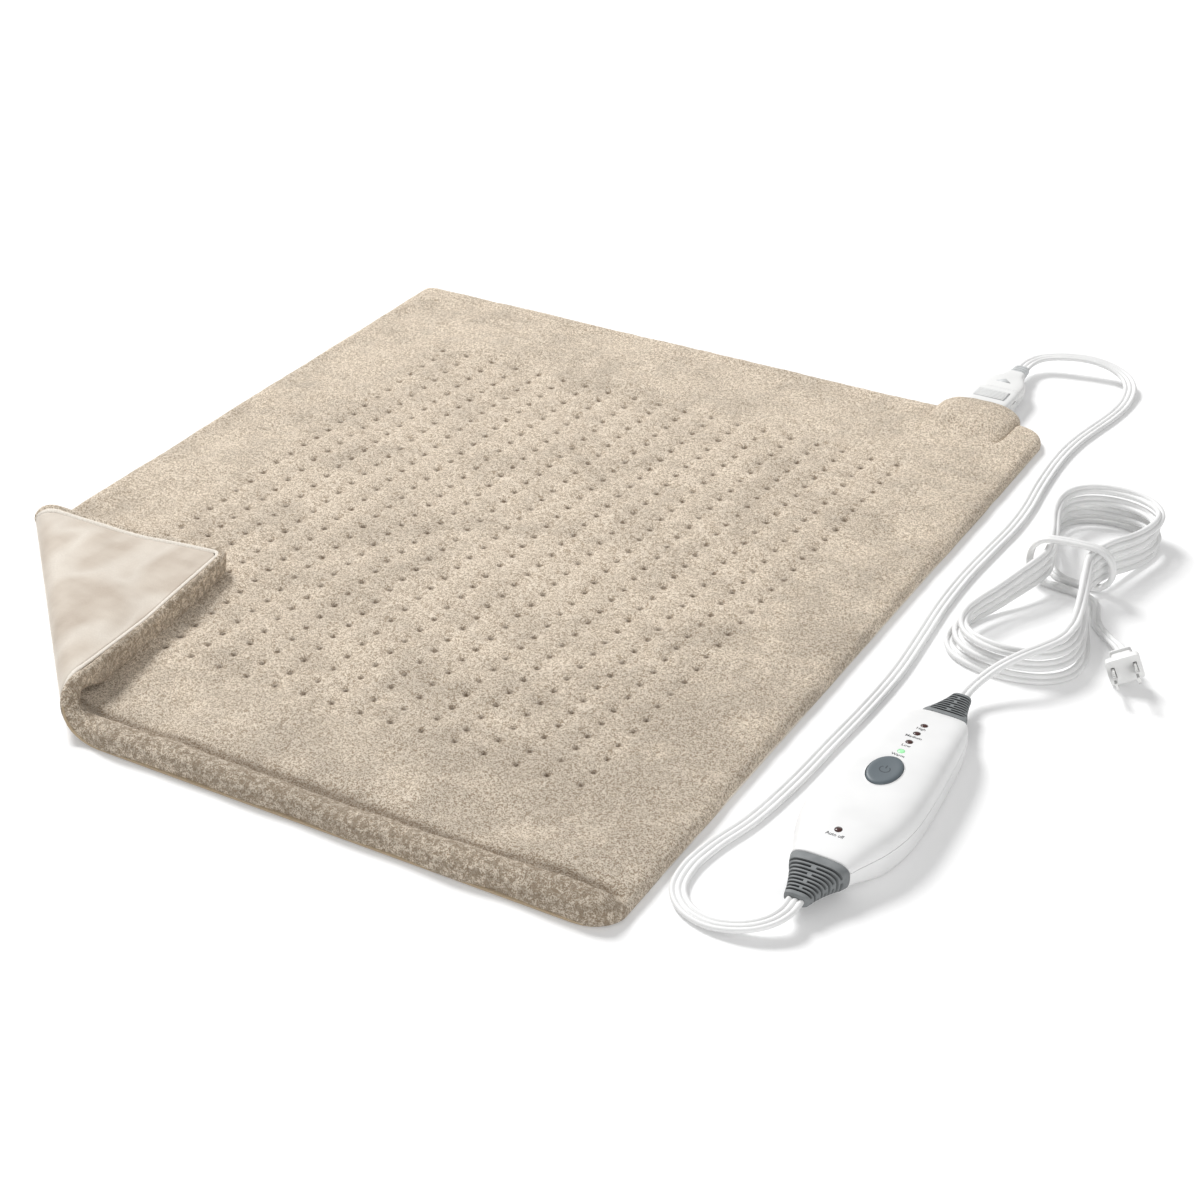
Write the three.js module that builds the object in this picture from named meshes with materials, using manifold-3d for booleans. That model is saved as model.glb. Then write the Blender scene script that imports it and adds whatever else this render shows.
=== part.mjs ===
// Heating pad with a detachable hand controller, lying on a floor with its front left corner folded over.
// Millimetres, +Z up. The origin is on the floor under the middle of the pad. +Y points to the edge with
// the connector and +X to the side where the cord and the controller lie.
import * as THREE from 'three';
import { mergeVertices } from 'three/addons/utils/BufferGeometryUtils.js';
import Module from 'manifold-3d';

const wasm = await Module();
wasm.setup();

// Driving dimensions
const clearance = 0.3; // gap between pieces that sit on or in each other
const overrun = 4; // how far a cutting solid runs past what it cuts
const wide = 1000; // size of the blocks that cut a solid in two

const pad = {
  width: 508, length: 610, thickness: 9,
  backingThickness: 1.4, rimWidth: 14, cavityTop: 5.1, cavitySlope: 1.5,
  cornerRadii: [15, 22, 8, 10], // front right, back right, back left, front left
  edgeBulge: 4.6, edgeShoulder: 7.3, edgeShoulderInset: 1.8, borderHeight: 8.4, borderInset: 9,
  hemWidth: 20, hemGroove: 7.2, hemGrooveWidth: 7,
};
const backEdge = pad.length / 2;
const frontEdge = -pad.length / 2;
const fromBackEdge = { // places measured from the pad's back edge
  socketBack: -13, socketFront: 33, sleeveStart: -43, sleeveEnd: 8, latchRoot: 14.6, gripStart: 14.5,
  wireFeed: -69, wireTurn: -102, thermostat: -83,
};
const fromFrontEdge = { wireTurn: 105, foldedSide: 162.9 };
const rollBulge = 2.2; // how far the roll of the folded corner stands past the pad's left edge
const quilt = {
  columns: 19, rows: 15, columnPitch: 20, rowPitch: 29, centreX: 4, centreY: -3.25,
  dimpleDepth: 3, borderGap: 12,
};
const fold = {
  limbX: -pad.width / 2 - rollBulge, limbY: frontEdge + fromFrontEdge.foldedSide,
  // a point of the roll's outermost line
  axisAngle: -44.76,
  liftRadius: 15, liftAngle: 40, rollRadius: 7.5, fallAngle: 9.2, restRadius: 90,
  layerGap: 0.5, shear: 0.235, flatness: 0.02,
};
const element = {
  inset: 2, thickness: 1, cornerRadius: 14, wireRadius: 0.9,
  runTop: backEdge + fromBackEdge.wireTurn, runBottom: frontEdge + fromFrontEdge.wireTurn,
  feedY: backEdge + fromBackEdge.wireFeed,
};
const thermostat = { length: 13, width: 7, height: 1.9, x: 104, y: backEdge + fromBackEdge.thermostat };
const receptacle = {
  x: 203, width: 32, height: 13, cornerRadius: 3.4,
  backY: backEdge + fromBackEdge.socketBack, frontY: backEdge + fromBackEdge.socketFront,
  cavityWidth: 25, cavityHeight: 7.8, backWall: 2.5, blockLength: 22, wireHole: 3,
  pinPitch: 7, pinRadius: 1, pinLength: 36, pinHoleRadius: 1.3,
};
const sleeve = {
  halfWidth: 30, height: 18, channelWidth: 22,
  startY: backEdge + fromBackEdge.sleeveStart, endY: backEdge + fromBackEdge.sleeveEnd,
};
const latch = {
  length: 10.4, height: 5.4, thickness: 1.8, rootY: backEdge + fromBackEdge.latchRoot, bump: 0.8,
  catchDepth: 1.1, pressAngle: 6,
};
const grip = {
  ribs: 6, ribWidth: 1, ribHeight: 0.5, width: 21, startY: backEdge + fromBackEdge.gripStart, length: 12
};
const nose = {
  length: 25.4, depth: 18, width: 24.2, height: 7.1, boreRadius: 2, grooveDepth: 1.6, grooveLength: 13
};
const contact = { outerRadius: 1.7, innerRadius: 1.3, length: 16 };
const coupler = {
  length: 35, shoulderLength: 17, endHalfWidth: 6.9, endHeight: 9, arrowWidth: 11, arrowLength: 5.5,
  arrowHeight: 0.4, arrowY: 9
};
const leadRelief = {
  length: 14, ribs: 4, halfWidth: 6.2, endHalfWidth: 5.4, halfHeight: 4.2, endHalfHeight: 3, grooveDepth: 1
};
const leadCord = { width: 9.4, thickness: 3, groove: 0.5, steps: 66 };
const supplyCord = { width: 6.6, thickness: 3.4, groove: 0.4 };
const besidePad = 73; // from the pad's right edge to the controller's middle line
const controller = {
  x: pad.width / 2 + besidePad, y: -142.75, turn: -0.8, length: 154.5, halfWidth: 30, height: 25, wall: 2.2,
  floorCut: 0.5, partingHeight: 12.5,
};
const button = {
  length: 27.3, width: 18.3, y: -2.25, rise: 1.2, rim: 1.1, flange: 1.4, flangeThickness: 1.2, travel: 0.8,
  stemRadius: 2
};
const lamp = {
  radius: 1.9, bodyRadius: 1.5, capLength: 5, rise: 0.25,
  names: ['high', 'medium', 'low', 'warm', 'auto_off'], places: [49.25, 39.25, 29.25, 18.75, -57.75]
};
const board = { width: 34, length: 118, thickness: 1.6, height: 8, y: -4.25 };
const boss = { radius: 3, boreRadius: 1.6, x: 12.5, places: [-44.25, 37.75] };
// cover: lid left over the tip
const screw = { headRadius: 2.6, headHeight: 1.8, radius: 1.25, recess: 2.2, cover: 4 };
const screwLength = controller.height - screw.recess - screw.headHeight - screw.cover;
const bootHeightShares = { // of the controller's height
  leadTop: 0.544, leadBottom: 0.256, leadNeck: 0.168, supplyTop: 0.512, supplyBottom: 0.248,
  supplyNeck: 0.132,
};
const leadBoot = {
  length: 27.5, collar: 5, slots: 9, slotWidth: 1.1, slotPitch: 2.35, bridge: 2.4, coreShare: 0.62,
  endHalfWidth: 6.6, endTop: controller.height * bootHeightShares.leadTop,
  endBottom: controller.height * bootHeightShares.leadBottom,
  neckHalfWidth: 7, neckHalfHeight: controller.height * bootHeightShares.leadNeck, flange: 2,
  flangeThickness: 1.5,
};
const supplyBoot = {
  length: 26.5, collar: 3.4, slots: 9, slotWidth: 1.2, slotPitch: 2.4, bridge: 2, coreShare: 0.62,
  endHalfWidth: 5.6, endTop: controller.height * bootHeightShares.supplyTop,
  endBottom: controller.height * bootHeightShares.supplyBottom,
  neckHalfWidth: 5, neckHalfHeight: controller.height * bootHeightShares.supplyNeck, flange: 2,
  flangeThickness: 1.5,
};
const tactSwitch = { width: 6, height: 3.6, plungerRadius: 1.7 };
const plug = {
  x: 398.5, y: 32.3, z: 10.9, heading: -67, roll: 21.7, pitch: 7.9, length: 18, halfWidth: 9.9,
  halfHeight: 7.8,
  endHalfWidth: 6.4, endHalfHeight: 6,
};
const blade = {
  length: 17.5, width: 6.35, thickness: 1.5, pitch: 12.7, root: 4, tip: 1.6, holeRadius: 1.6,
  holeFromTip: 3.6
};
const hank = {
  waistX: 333.2, waistY: 118, waistHalf: 13.2, lean: 0.014, pitch: 6.3, halfRise: 2.84, floorGap: 0.05,
  raise: 4.4, raiseHalf: 15, raiseFade: 40, power: 1.25,
};

// Materials
const plush = new THREE.MeshStandardMaterial({ color: 0xd1c2ad, roughness: 0.95 });
const velvet = new THREE.MeshStandardMaterial({ color: 0xd9ccbf, roughness: 0.8 });
const felt = new THREE.MeshStandardMaterial({ color: 0xe6e2d8, roughness: 0.95 });
const wireJacket = new THREE.MeshStandardMaterial({ color: 0xb5443a, roughness: 0.6 });
const whitePlastic = new THREE.MeshStandardMaterial({ color: 0xf4f4f4, roughness: 0.35 });
const cordJacket = new THREE.MeshStandardMaterial({ color: 0xf2f2f2, roughness: 0.45 });
const greyRubber = new THREE.MeshStandardMaterial({ color: 0x8d9194, roughness: 0.6 });
const bluePlastic = new THREE.MeshStandardMaterial({ color: 0x56646f, roughness: 0.4 });
const darkLens = new THREE.MeshStandardMaterial({ color: 0x4a1712, roughness: 0.2 });
const litLens = new THREE.MeshStandardMaterial({ color: 0x7fe08a, roughness: 0.2 });
const blackPlastic = new THREE.MeshStandardMaterial({ color: 0x2a2c2e, roughness: 0.5 });
const boardGreen = new THREE.MeshStandardMaterial({ color: 0x2f6b3c, roughness: 0.5 });
const steel = new THREE.MeshStandardMaterial({ color: 0xb9bcc0, roughness: 0.3, metalness: 1 });
const brass = new THREE.MeshStandardMaterial({ color: 0xc7a55a, roughness: 0.3, metalness: 1 });

// Helpers that turn geometry into solids and back
function merged(geometry) {
  const bare = geometry.clone();
  bare.deleteAttribute('normal');
  bare.deleteAttribute('uv');
  return mergeVertices(bare, 1e-5);
}

function solidOf(geometry) {
  const source = merged(geometry);
  const solid = new wasm.Manifold(new wasm.Mesh({
    numProp: 3,
    vertProperties: new Float32Array(source.attributes.position.array),
    triVerts: new Uint32Array(source.index.array),
  }));
  return solid.volume() < 0 ? solidOf(flipped(source)) : solid;
}

function flipped(geometry) {
  const copy = geometry.clone();
  const order = copy.index.array;
  for (let i = 0; i < order.length; i += 3) [order[i + 1], order[i + 2]] = [order[i + 2], order[i + 1]];
  return copy;
}

function geometryOf(solid) {
  const mesh = solid.getMesh();
  const geometry = new THREE.BufferGeometry();
  const places = new Float32Array(mesh.numVert * 3);
  for (let i = 0; i < mesh.numVert; i++) {
    for (let axis = 0; axis < 3; axis++) places[3 * i + axis] = mesh.vertProperties[mesh.numProp * i + axis];
  }
  geometry.setAttribute('position', new THREE.BufferAttribute(places, 3));
  geometry.setIndex(Array.from(mesh.triVerts));
  return geometry;
}

function joined(...solids) {
  return solids.reduce((sum, solid) => sum.add(solid));
}

function cut(solid, ...tools) {
  return tools.reduce((rest, tool) => rest.subtract(tool), solid);
}

function block(x0, x1, y0, y1, z0, z1) {
  const box = new THREE.BoxGeometry(x1 - x0, y1 - y0, z1 - z0);
  return solidOf(box.translate((x0 + x1) / 2, (y0 + y1) / 2, (z0 + z1) / 2));
}

function post(radius, x, y, z0, z1, sides = 12) {
  const cylinder = new THREE.CylinderGeometry(radius, radius, z1 - z0, sides);
  return solidOf(cylinder.rotateX(Math.PI / 2).translate(x, y, (z0 + z1) / 2));
}

function rod(radius, x, z, y0, y1, sides = 12) {
  return solidOf(new THREE.CylinderGeometry(radius, radius, y1 - y0, sides).translate(x, (y0 + y1) / 2, z));
}

function above(z) {
  return block(-wide, wide, -wide, wide, z, z + wide);
}

function below(z) {
  return block(-wide, wide, -wide, wide, z - wide, z);
}

// A closed mesh from rings of points, each ring joined to the next and the two ends capped
function ringSolid(rings, closedLoop = false) {
  const places = [];
  const triangles = [];
  const count = rings[0].length;
  rings.forEach((ring) => ring.forEach((point) => places.push(point.x, point.y, point.z)));
  const last = closedLoop ? rings.length : rings.length - 1;
  for (let r = 0; r < last; r++) {
    const a = r * count;
    const b = ((r + 1) % rings.length) * count;
    for (let i = 0; i < count; i++) {
      const j = (i + 1) % count;
      triangles.push(a + i, a + j, b + j, a + i, b + j, b + i);
    }
  }
  if (!closedLoop) {
    const end = (rings.length - 1) * count;
    for (let i = 1; i < count - 1; i++) {
      triangles.push(0, i + 1, i);
      triangles.push(end, end + i, end + i + 1);
    }
  }
  const geometry = new THREE.BufferGeometry();
  geometry.setAttribute('position', new THREE.BufferAttribute(new Float32Array(places), 3));
  geometry.setIndex(triangles);
  return geometry;
}

// A soft rectangle between bottom and top, rounder as the power comes down to 2
function section(y, halfWidth, bottom, top, middle, count, upperPower, lowerPower) {
  const ring = [];
  for (let i = 0; i < count; i++) {
    const angle = (2 * Math.PI * i) / count;
    const c = Math.cos(angle);
    const s = Math.sin(angle);
    const power = 2 / (s >= 0 ? upperPower : lowerPower);
    const reach = s >= 0 ? top - middle : middle - bottom;
    ring.push(new THREE.Vector3(
      halfWidth * Math.sign(c) * Math.abs(c) ** power,
      y,
      middle + reach * Math.sign(s) * Math.abs(s) ** power,
    ));
  }
  return ring;
}

const root = new THREE.Group();

function piece(name, shape, material, parent = root) {
  const geometry = shape.isBufferGeometry ? shape : geometryOf(shape);
  const mesh = new THREE.Mesh(geometry, material);
  mesh.name = name;
  parent.add(mesh);
  return mesh;
}

// The folded corner. A sheet point keeps its height above the floor side as it goes round the roll.
const foldLine = (() => {
  const angle = THREE.MathUtils.degToRad(fold.axisAngle);
  const along = new THREE.Vector2(Math.cos(angle), Math.sin(angle));
  const inward = new THREE.Vector2(-along.y, along.x);
  const middle = pad.thickness / 2;
  const lift = THREE.MathUtils.degToRad(fold.liftAngle);
  const fall = THREE.MathUtils.degToRad(fold.fallAngle);
  const start = fold.liftRadius * Math.sin(lift) + fold.rollRadius * (1 - Math.sin(lift)) + middle;
  const liftEnd = fold.liftRadius * lift;
  const rollEnd = liftEnd + fold.rollRadius * (Math.PI + fall - lift);
  const liftX = fold.liftRadius * Math.sin(lift);
  const liftZ = middle + fold.liftRadius * (1 - Math.cos(lift));
  const rollX = liftX - fold.rollRadius * (Math.sin(fall) + Math.sin(lift));
  const rollZ = liftZ + fold.rollRadius * (Math.cos(lift) + Math.cos(fall));
  const restZ = middle + pad.thickness + fold.layerGap;
  const fallDrop = rollZ - fold.restRadius * (1 - Math.cos(fall)) - restZ;
  const fallEnd = rollEnd + Math.max(fallDrop, 0) / Math.sin(fall);
  const restEnd = fallEnd + fold.restRadius * fall;
  return {
    along, inward, middle, lift, fall, start, liftEnd, rollEnd, liftX, liftZ, rollX, rollZ, restZ, fallEnd,
    restEnd
  };
})();

function foldPoint(point) {
  const f = foldLine;
  const x = point.x - fold.limbX;
  const y = point.y - fold.limbY;
  let t = x * f.along.x + y * f.along.y;
  const s = f.start - (x * f.inward.x + y * f.inward.y);
  if (s <= 0) return point;
  let lineX;
  let lineZ;
  let angle;
  if (s <= f.liftEnd) {
    angle = s / fold.liftRadius;
    lineX = fold.liftRadius * Math.sin(angle);
    lineZ = f.middle + fold.liftRadius * (1 - Math.cos(angle));
  } else if (s <= f.rollEnd) {
    angle = f.lift + (s - f.liftEnd) / fold.rollRadius;
    lineX = f.liftX + fold.rollRadius * (Math.sin(angle) - Math.sin(f.lift));
    lineZ = f.liftZ + fold.rollRadius * (Math.cos(f.lift) - Math.cos(angle));
  } else if (s <= f.fallEnd) {
    angle = Math.PI + f.fall;
    lineX = f.rollX - (s - f.rollEnd) * Math.cos(f.fall);
    lineZ = f.rollZ - (s - f.rollEnd) * Math.sin(f.fall);
  } else if (s <= f.restEnd) {
    const left = f.fall - (s - f.fallEnd) / fold.restRadius;
    angle = Math.PI + left;
    lineX = f.rollX - (f.fallEnd - f.rollEnd) * Math.cos(f.fall) - fold.restRadius
      * (Math.sin(f.fall) - Math.sin(left));
    lineZ = f.restZ + fold.restRadius * (1 - Math.cos(left));
  } else {
    angle = Math.PI;
    lineX = f.rollX - (f.fallEnd - f.rollEnd) * Math.cos(f.fall) - fold.restRadius
      * Math.sin(f.fall) - (s - f.restEnd);
    lineZ = f.restZ;
  }
  const rise = point.z - f.middle;
  const outX = lineX - rise * Math.sin(angle);
  const outZ = lineZ + rise * Math.cos(angle);
  t -= fold.shear * s;
  return new THREE.Vector3(
    fold.limbX + t * f.along.x - (outX - f.start) * f.inward.x,
    fold.limbY + t * f.along.y - (outX - f.start) * f.inward.y,
    outZ,
  );
}

// Splits the triangles along lines parallel to the fold, so that the bent sheet follows the roll
function foldSheet(geometry, rollSteps, flatness = fold.flatness) {
  const f = foldLine;
  const cuts = [0, f.liftEnd / 2, f.liftEnd, f.fallEnd, (f.fallEnd + f.restEnd) / 2, f.restEnd];
  for (let i = 1; i <= rollSteps; i++) cuts.push(f.liftEnd + ((f.rollEnd - f.liftEnd) * i) / rollSteps);
  const measure = (p) => f.start - ((p.x - fold.limbX) * f.inward.x + (p.y - fold.limbY) * f.inward.y);
  const flat = merged(geometry).toNonIndexed().attributes.position;
  let triangles = [];
  for (let i = 0; i < flat.count; i += 3) {
    triangles.push([0, 1, 2].map((k) => new THREE.Vector3().fromBufferAttribute(flat, i + k)));
  }
  for (const level of cuts) {
    const next = [];
    for (const triangle of triangles) next.push(
      ...splitTriangle(triangle, triangle.map((p) => measure(p) - level))
    );
    triangles = next;
  }
  const places = [];
  for (const triangle of triangles) {
    for (const point of triangle) {
      const bent = foldPoint(point);
      places.push(bent.x, bent.y, bent.z);
    }
  }
  const result = new THREE.BufferGeometry();
  result.setAttribute('position', new THREE.BufferAttribute(new Float32Array(places), 3));
  return geometryOf(solidOf(result).simplify(flatness));
}

function crossing(a, b, heightA, heightB) {
  const swap = a.x > b.x || (a.x === b.x && (a.y > b.y || (a.y === b.y && a.z > b.z)));
  const [from, to, start, end] = swap ? [b, a, heightB, heightA] : [a, b, heightA, heightB];
  return from.clone().lerp(to, start / (start - end));
}

function splitTriangle(triangle, heights) {
  const near = 1e-6;
  const signs = heights.map((h) => (Math.abs(h) < near ? 0 : Math.sign(h)));
  if (!(signs.includes(1) && signs.includes(-1))) return [triangle];
  if (signs.includes(0)) {
    const k = signs.indexOf(0);
    const [a, b, c] = [0, 1, 2].map((i) => triangle[(k + i) % 3]);
    const middle = crossing(b, c, heights[(k + 1) % 3], heights[(k + 2) % 3]);
    return [[a, b, middle], [a, middle, c]];
  }
  const alone = signs.findIndex((sign) => signs.filter((other) => other === sign).length === 1);
  const [a, b, c] = [0, 1, 2].map((i) => triangle[(alone + i) % 3]);
  const [ha, hb, hc] = [0, 1, 2].map((i) => heights[(alone + i) % 3]);
  const ab = crossing(a, b, ha, hb);
  const ca = crossing(c, a, hc, ha);
  return [[a, ab, ca], [ab, b, c], [ab, c, ca]];
}

// The pad's outline drawn in by an inset, as points at one height or at a height that follows the edge
function padRing(inset, heightAt, stepsPerCorner = 4) {
  const signs = [[1, -1], [1, 1], [-1, 1], [-1, -1]];
  const points = [];
  signs.forEach(([sx, sy], corner) => {
    const radius = Math.max(pad.cornerRadii[corner] - inset, pad.cornerRadii[corner] / 4);
    const centreX = sx * (pad.width / 2 - inset - radius);
    const centreY = sy * (pad.length / 2 - inset - radius);
    for (let i = 0; i <= stepsPerCorner; i++) {
      const angle = (Math.PI / 2) * (corner - 1 + i / stepsPerCorner);
      const frontShare = Math.max(-Math.sin(angle), 0);
      points.push(new THREE.Vector3(
        centreX + radius * Math.cos(angle),
        centreY + radius * Math.sin(angle),
        typeof heightAt === 'function' ? heightAt(frontShare) : heightAt,
      ));
    }
  });
  return points;
}

const backingTop = pad.backingThickness;
const coverBottom = backingTop + clearance;
const mixed = (plain, hem) => (frontShare) => plain + (hem - plain) * frontShare;

function quiltCorner(column, row) {
  return new THREE.Vector3(
    quilt.centreX + (column - (quilt.columns - 1) / 2) * quilt.columnPitch,
    quilt.centreY + (row - (quilt.rows - 1) / 2) * quilt.rowPitch,
    pad.thickness - quilt.dimpleDepth,
  );
}

// The plush cover: rounded edges, a fat hem along the front, and pillows drawn down at each quilting point
function topCoverSolid() {
  const places = [];
  const triangles = [];
  const add = (point) => places.push(point.x, point.y, point.z) / 3 - 1;
  const addRing = (ring) => ring.map(add);
  const bridge = (a, b) => a.forEach((start, i) => {
    const j = (i + 1) % a.length;
    triangles.push(start, a[j], b[j], start, b[j], b[i]);
  });
  const ringInset = pad.hemWidth + pad.hemGrooveWidth;
  const rings = [
    padRing(pad.rimWidth + pad.cavitySlope, pad.cavityTop),
    padRing(pad.rimWidth, coverBottom),
    padRing(0, coverBottom),
    padRing(0, pad.edgeBulge),
    padRing(pad.edgeShoulderInset, pad.edgeShoulder),
    padRing(pad.borderInset, mixed(pad.borderHeight, pad.thickness)),
    padRing(pad.hemWidth, mixed(pad.borderHeight, pad.hemGroove)),
    padRing(ringInset, pad.borderHeight),
  ].map(addRing);
  for (let i = 0; i < rings.length - 1; i++) bridge(rings[i], rings[i + 1]);
  const inside = rings[0];
  for (let i = 1; i < inside.length - 1; i++) triangles.push(inside[0], inside[i + 1], inside[i]);

  const halfX = ((quilt.columns - 1) / 2) * quilt.columnPitch + quilt.borderGap;
  const halfY = ((quilt.rows - 1) / 2) * quilt.rowPitch + quilt.borderGap;
  const crownRing = [[1, -1], [1, 1], [-1, 1], [-1, -1]].map(([sx, sy]) => (
    new THREE.Vector3(quilt.centreX + sx * halfX, quilt.centreY + sy * halfY, pad.thickness)));
  const grid = [];
  for (let row = 0; row < quilt.rows; row++) {
    grid.push([]);
    for (let column = 0; column < quilt.columns; column++) grid[row].push(add(quiltCorner(column, row)));
  }
  const lastRow = quilt.rows - 1;
  const lastColumn = quilt.columns - 1;
  const quiltEdge = [];
  for (let c = 0; c < lastColumn; c++) quiltEdge.push(grid[0][c]);
  for (let r = 0; r < lastRow; r++) quiltEdge.push(grid[r][lastColumn]);
  for (let c = lastColumn; c > 0; c--) quiltEdge.push(grid[lastRow][c]);
  for (let r = lastRow; r > 0; r--) quiltEdge.push(grid[r][0]);
  const crown = addRing(crownRing);
  for (const [outer, inner] of [[rings[rings.length - 1], crown], [crown, quiltEdge]]) {
    const flat = (list) => list.map((i) => new THREE.Vector2(places[3 * i], places[3 * i + 1]));
    const all = [...outer, ...inner];
    for (const face of THREE.ShapeUtils.triangulateShape(flat(outer), [flat(inner)])) {
      const [a, b, c] = face.map((i) => all[i]);
      const p = flat([a, b, c]);
      const turn = (p[1].x - p[0].x) * (p[2].y - p[0].y) - (p[1].y - p[0].y) * (p[2].x - p[0].x);
      triangles.push(a, ...(turn > 0 ? [b, c] : [c, b]));
    }
  }
  for (let r = 0; r < lastRow; r++) {
    for (let c = 0; c < lastColumn; c++) {
      const corners = [grid[r][c], grid[r][c + 1], grid[r + 1][c + 1], grid[r + 1][c]];
      const middle = quiltCorner(c, r).add(
        quiltCorner(c + 1, r + 1)
      ).multiplyScalar(0.5).setZ(pad.thickness);
      const top = add(middle);
      corners.forEach((corner, i) => triangles.push(corner, corners[(i + 1) % 4], top));
    }
  }
  const geometry = new THREE.BufferGeometry();
  geometry.setAttribute('position', new THREE.BufferAttribute(new Float32Array(places), 3));
  geometry.setIndex(triangles);
  return solidOf(geometry);
}

function flatSheet(outline, z0, z1) {
  const shape = new THREE.Shape(outline.map((p) => new THREE.Vector2(p.x, p.y)));
  return solidOf(
    new THREE.ExtrudeGeometry(shape, { depth: z1 - z0, bevelEnabled: false }).translate(0, 0, z0)
  );
}

const sleeveLeft = receptacle.x - sleeve.halfWidth;
const sleeveRight = receptacle.x + sleeve.halfWidth;

function makePad() {
  const notch = block(
    sleeveLeft - clearance, sleeveRight + clearance, sleeve.startY - clearance, wide, 0, wide
  );
  piece('pad_cover_top', foldSheet(geometryOf(cut(topCoverSolid(), notch)), 5, 3 * fold.flatness), plush);
  const tongue = block(sleeveLeft, sleeveRight, sleeve.startY, sleeve.endY, 0, backingTop);
  piece(
    'pad_cover_backing', foldSheet(geometryOf(joined(flatSheet(padRing(0, 0), 0, backingTop), tongue)), 6),
    velvet
  );
  const carrierBottom = backingTop + clearance;
  const carrierTop = carrierBottom + element.thickness;
  const carrierInset = pad.rimWidth + pad.cavitySlope + element.inset;
  const carrier = cut(flatSheet(padRing(carrierInset, 0), carrierBottom, carrierTop), notch);
  piece('heater_carrier', foldSheet(geometryOf(carrier), 6), felt);
  piece('heating_wire', foldSheet(heatingWire(carrierTop + clearance + element.wireRadius), 6), wireJacket);
  const sensorBottom = carrierTop + clearance;
  piece('pad_thermostat', block(
    thermostat.x - thermostat.length / 2, thermostat.x + thermostat.length / 2,
    thermostat.y - thermostat.width / 2, thermostat.y + thermostat.width / 2,
    sensorBottom, sensorBottom + thermostat.height,
  ), blackPlastic);
}

// One wire that runs up and down between the quilting columns and comes back to the connector
function heatingWire(height) {
  const runs = quilt.columns - 1;
  const firstX = quiltCorner(0, 0).x + quilt.columnPitch / 2;
  const turnRadius = quilt.columnPitch / 2;
  const points = [];
  const contactX = [receptacle.x - receptacle.pinPitch, receptacle.x + receptacle.pinPitch];
  const end = receptacle.backY - clearance;
  points.push(
    [contactX[0], end], [contactX[0], element.feedY + turnRadius], [contactX[0] - turnRadius, element.feedY]
  );
  points.push([firstX + turnRadius, element.feedY], [firstX, element.feedY - turnRadius]);
  for (let run = 0; run < runs; run++) {
    const x = firstX + run * quilt.columnPitch;
    const down = run % 2 === 0;
    points.push(
      [x, down ? element.runTop : element.runBottom], [x, down ? element.runBottom : element.runTop]
    );
    if (run === runs - 1) break;
    const turnY = down ? element.runBottom : element.runTop;
    for (let i = 1; i < 4; i++) {
      const angle = (Math.PI * i) / 4;
      points.push(
        [x + turnRadius * (1 - Math.cos(angle)), turnY + (down ? -1 : 1) * turnRadius * Math.sin(angle)]
      );
    }
  }
  const lastX = firstX + (runs - 1) * quilt.columnPitch;
  points.push(
    [lastX, element.feedY - turnRadius], [contactX[1], element.feedY + turnRadius], [contactX[1], end]
  );
  const clean = points.filter(
    (p, i) => i === 0 || Math.hypot(p[0] - points[i - 1][0], p[1] - points[i - 1][1]) > clearance
  );
  const rings = clean.map((p, i) => {
    const before = clean[Math.max(i - 1, 0)];
    const after = clean[Math.min(i + 1, clean.length - 1)];
    const inDirection = new THREE.Vector2(p[0] - before[0], p[1] - before[1]).normalize();
    const outDirection = new THREE.Vector2(after[0] - p[0], after[1] - p[1]).normalize();
    const tangent = inDirection.add(outDirection).normalize();
    return [0, 1, 2, 3, 4].map((k) => {
      const angle = (2 * Math.PI * k) / 5;
      const side = element.wireRadius * Math.cos(angle);
      return new THREE.Vector3(
        p[0] - tangent.y * side, p[1] + tangent.x * side, height + element.wireRadius * Math.sin(angle)
      );
    });
  });
  return geometryOf(solidOf(ringSolid(rings)));
}

// The socket in the pad's edge, its sleeve and its latches
const socketBottom = backingTop + clearance;
const socketTop = socketBottom + receptacle.height;
const socketMiddle = (socketBottom + socketTop) / 2;
const latchOuter = receptacle.width / 2;
const pinPlaces = [-1, 0, 1].map((i) => receptacle.x + i * receptacle.pinPitch);

function roundedBar(halfWidth, z0, z1, radius, y0, y1) {
  const shape = new THREE.Shape();
  shape.moveTo(-halfWidth + radius, z0);
  shape.lineTo(halfWidth - radius, z0);
  shape.absarc(halfWidth - radius, z0 + radius, radius, -Math.PI / 2, 0);
  shape.absarc(halfWidth - radius, z1 - radius, radius, 0, Math.PI / 2);
  shape.absarc(-halfWidth + radius, z1 - radius, radius, Math.PI / 2, Math.PI);
  shape.absarc(-halfWidth + radius, z0 + radius, radius, Math.PI, 1.5 * Math.PI);
  const bar = new THREE.ExtrudeGeometry(shape, { depth: y1 - y0, bevelEnabled: false, curveSegments: 4 });
  return solidOf(bar.rotateX(Math.PI / 2).translate(receptacle.x, y1, 0));
}

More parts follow.
